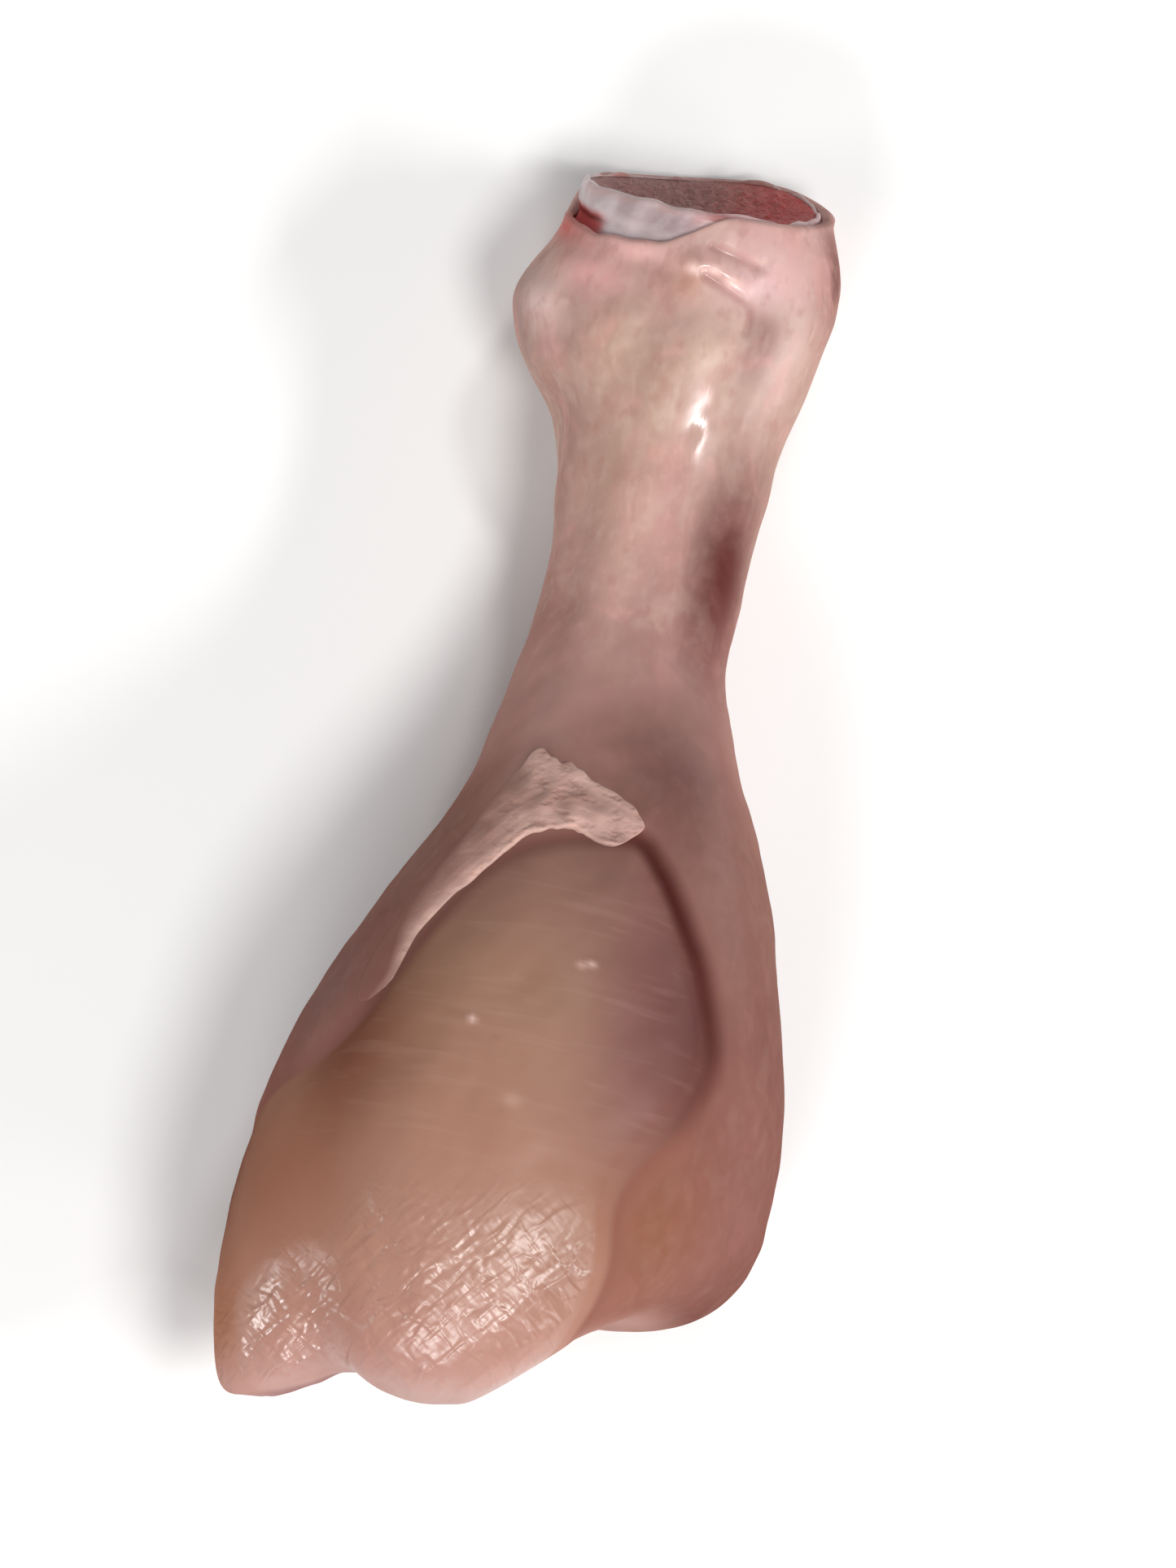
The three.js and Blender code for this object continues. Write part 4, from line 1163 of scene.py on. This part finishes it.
def head_rings(shares, degrees):
    """Rings of the knee head's face, and their colours.

    The face is a shallow dome, less two facets that are bells to each side of its middle. Between and
    round them lie the ends of the ligaments.
    """
    share, degrees = grid(shares, degrees)
    edge = bone_point(np.full(share.shape, float(HEAD_Y)), degrees)
    middle = np.array([BONE_SECTIONS[0, AT_X], HEAD_Y, BONE_SECTIONS[0, AT_Z]])
    points = middle + (edge - middle) * share[..., None]
    across = np.abs(points[..., 0] - middle[0]) / BONE_SECTIONS[0, WIDE]
    facets = strip(across - FACET_OFF, FACET_WIDE) * (1 - share ** 4)
    lumps = HEAD_LUMP * ripples(points, HEAD_LUMP_SIZE, seed=34)
    points[..., 1] += FACET_DEPTH * facets - HEAD_DOME * (1 - share ** 2) + lumps
    tendon = np.clip(TENDON_SPREAD * (1 - facets) * (1 - share ** 3) + rise(share, *HEAD_EDGE), 0, 1)
    return points, mixed(CARTILAGE_KNEE, KNEE_TENDON, TENDON_SHARE * tendon)


def in_slit(row, degrees):
    """1 where the cap is slit, below its pale band, with soft ends."""
    return between(degrees, *SLIT_ANGLES) * (1 - rise(row, *SLIT_ROWS))


def bone_colour(row, degrees):
    """Pale at the knee, red along the hidden shaft, at the hock blue on the left and pink on the right."""
    knee = mixed(CARTILAGE_KNEE, BONE_RED, rise(row, *KNEE_ROWS))
    blue = between(degrees, *BLUE_ANGLES)
    cap = mixed(CARTILAGE_PINK, CARTILAGE_BLUE, blue)
    for colour, share in (
        (CARTILAGE_SHADE, 0.75 * bell(degrees, 97, 14) * rise(row, 59.4, 61)),
        (SLIT_RED, in_slit(row, degrees)),
        (SLIT_DARK, 0.95 * between(degrees, *SLIT_ANGLES) * hump(row, 59.6, 0.4)),
        # Painted light: paler low on the band, where the lip shades it
        (CARTILAGE_PALE, 0.7 * bell(degrees, 124, 12) * (1 - rise(row, 59.8, 60.8))),
        (CARTILAGE_EDGE, 0.9 * blue * rise(row, 61.4, 62.2)),
        (CARTILAGE_RED, 0.8 * (1 - blue) * rise(row, 61.0, 62.0)),
        (CARTILAGE_FAR, between(degrees, *FAR_ANGLES)),
    ):
        cap = mixed(cap, colour, share)
    return mixed(knee, cap, rise(row, *CAP_ROWS))


def chopped(row, degrees):
    """A row of the bone, with the cut's bulge and its ragged edge."""
    rag = CHOP_RAG * ragged(np.radians(degrees), seed=31) * rise(row, CHOP_RAG_FROM, CUT_Y)
    return row + rag + cut_bulge(row, degrees)


bone_turns = np.linspace(0, 360, BONE_SIDES, endpoint=False)
head, head_colour = head_rings(HEAD_SHARES, bone_turns)
row, degrees = grid(BONE_ROWS, bone_turns)
bare = between(degrees, *BARE_ANGLES) * rise(row, *BARE_ROWS)
relief_here = BARE_LUMP * ripples(bone_point(row, degrees), BARE_LUMP_SIZE, seed=32) * bare
relief_here -= DENT_DEPTH * hump(row, DENT_ROW, DENT_LONG) * between(degrees, *SLIT_ANGLES)
relief_here -= BROKEN_EDGE * rise(row, CUT_Y - BROKEN_EDGE_LONG, CUT_Y)
bone_outside = bone_point(chopped(row, degrees), degrees, relief_here)
bone_outside_colour = bone_colour(row, degrees)
bone_outside_milk = 1 - in_slit(row, degrees)
row, degrees = grid(HOLLOW_ROWS, bone_turns)
off_core = GAP * (1 - HOLLOW_CLOSER * rise(row, *HOLLOW_CLOSER_ROWS))
hollow = core_point(chopped(row, degrees), degrees, off_core)
hollow_colour = mixed(bone_colour(row, degrees), BONE_RED, 1 - rise(row, *RED_INSIDE_ROWS))
bone = ring_mesh(
    "shin_bone",
    np.concatenate([head, bone_outside, hollow]),
    False,
    {
        "tone": np.concatenate([head_colour, bone_outside_colour, hollow_colour]),
        "milky": np.concatenate([np.ones(head.shape[:2]), bone_outside_milk, np.ones(hollow.shape[:2])]),
    },
)

wet_cartilage = Finish(
    "wet_cartilage", IOR=1.4, Specular_IOR_Level=0.5, Subsurface_Weight=0.4, Subsurface_Scale=0.003,
    Subsurface_Radius=(1.0, 0.8, 0.75))
milk = wet_cartilage.noise(2.4, 2.4, 2.4, detail=3)
scrape = wet_cartilage.noise(3.0, 0.6, 1.5, detail=2)
milky = wet_cartilage.field("milky")
clouded = wet_cartilage.step(milk, 0.4, 0.7) * milky * 0.35
wet_cartilage.wear(
    bone,
    dull=1 - milky,
    Base_Color=wet_cartilage.mix(clouded, wet_cartilage.tone(), (0.72, 0.66, 0.68)),
    Roughness=0.2 + 0.2 * milk,
    Normal=wet_cartilage.bumped(milk * 0.5 + scrape * 0.35, 0.18),
)
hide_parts("bone")
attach(bone, "root")

# Spongy core
# Red-brown spongy bone with marrow in its pores fills the shin bone. Where the hock was cut it lies a
# little below the cartilage round it, browner on the left and redder on the right.
CORE_SIDES = 144
BELOW_CUT = 0.15
CORE_ROWS = rows((CORE_END_Y, 50, 24), (50, CUT_Y - BELOW_CUT, 20))
DISH_SHARES = np.linspace(0.97, 0.03, 40)
DISH_DEPTH, PORE_DEPTH, PORE_SIZE = 1.4, 0.14, 1.1
CORE_BROWN = (0.340, 0.165, 0.148)
CORE_RED = (0.525, 0.076, 0.070)
CORE_REDDENS = (-2, 9)

core_turns = np.linspace(0, 360, CORE_SIDES, endpoint=False)
row, degrees = grid(CORE_ROWS, core_turns)
core_outside = core_point(row + cut_bulge(row, degrees), degrees)

# The cut face is a shallow dish: its points lie back by a parabola of their share of the way out.
share, degrees = grid(DISH_SHARES, core_turns)
edge = core_outside[-1]
dish = edge.mean(0) + (edge - edge.mean(0)) * share[..., None]
pores = PORE_DEPTH * ripples(dish, PORE_SIZE, seed=41) * (1 - share ** 6)
dish[..., 1] -= DISH_DEPTH * (1 - share ** 2) + pores
core_points = np.concatenate([core_outside, dish])
redder = rise(core_points[..., 0], *CORE_REDDENS)
core_colours = mixed(CORE_BROWN, CORE_RED, redder)
core = ring_mesh("spongy_core", core_points, False, {"tone": core_colours})

spongy_marrow = Finish(
    "spongy_marrow", IOR=1.4, Specular_IOR_Level=0.15, Subsurface_Weight=0.15, Subsurface_Scale=0.001,
    Subsurface_Radius=(1.0, 0.3, 0.25))
cells = spongy_marrow.node("ShaderNodeTexVoronoi", {"feature": "DISTANCE_TO_EDGE"}, {
    "Vector": spongy_marrow.stretched(0.75, 0.75, 0.75), "Scale": 1.0}, "Distance")
walls = 1 - spongy_marrow.step(cells, 0.02, 0.22)
ooze = spongy_marrow.noise(2.2, 2.2, 2.2, detail=3)
bloody = spongy_marrow.mix(ooze * 0.25, spongy_marrow.tone(), (0.13, 0.035, 0.032))
spongy_marrow.wear(
    core,
    Base_Color=spongy_marrow.mix(walls * 0.12, bloody, (0.55, 0.30, 0.26)),
    Roughness=0.4 + 0.25 * ooze,
    Normal=spongy_marrow.bumped(walls * 0.4 + ooze * 0.6, 0.2),
)
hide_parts("marrow")
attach(core, "root")

# Table
# A plain pale board, three metres square, that fills the picture. The leg lies on the flat of its
# underside and casts its soft shadow on the board.
TABLE_HALF = 1.5
TABLE_CORNERS = [
    (-TABLE_HALF, -TABLE_HALF, 0), (TABLE_HALF, -TABLE_HALF, 0),
    (TABLE_HALF, TABLE_HALF, 0), (-TABLE_HALF, TABLE_HALF, 0),
]
table_mesh = bpy.data.meshes.new("table")
table_mesh.from_pydata(TABLE_CORNERS, [], [(0, 1, 2, 3)])
table = bpy.data.objects.new("table", table_mesh)
bpy.context.scene.collection.objects.link(table)
matt_board = Finish("matt_board", Roughness=0.6)
speckle = matt_board.noise(30, 30, 30, detail=3)
matt_board.wear(table, Base_Color=matt_board.mix(speckle * 0.3, (0.86, 0.86, 0.86), (0.83, 0.83, 0.83)))
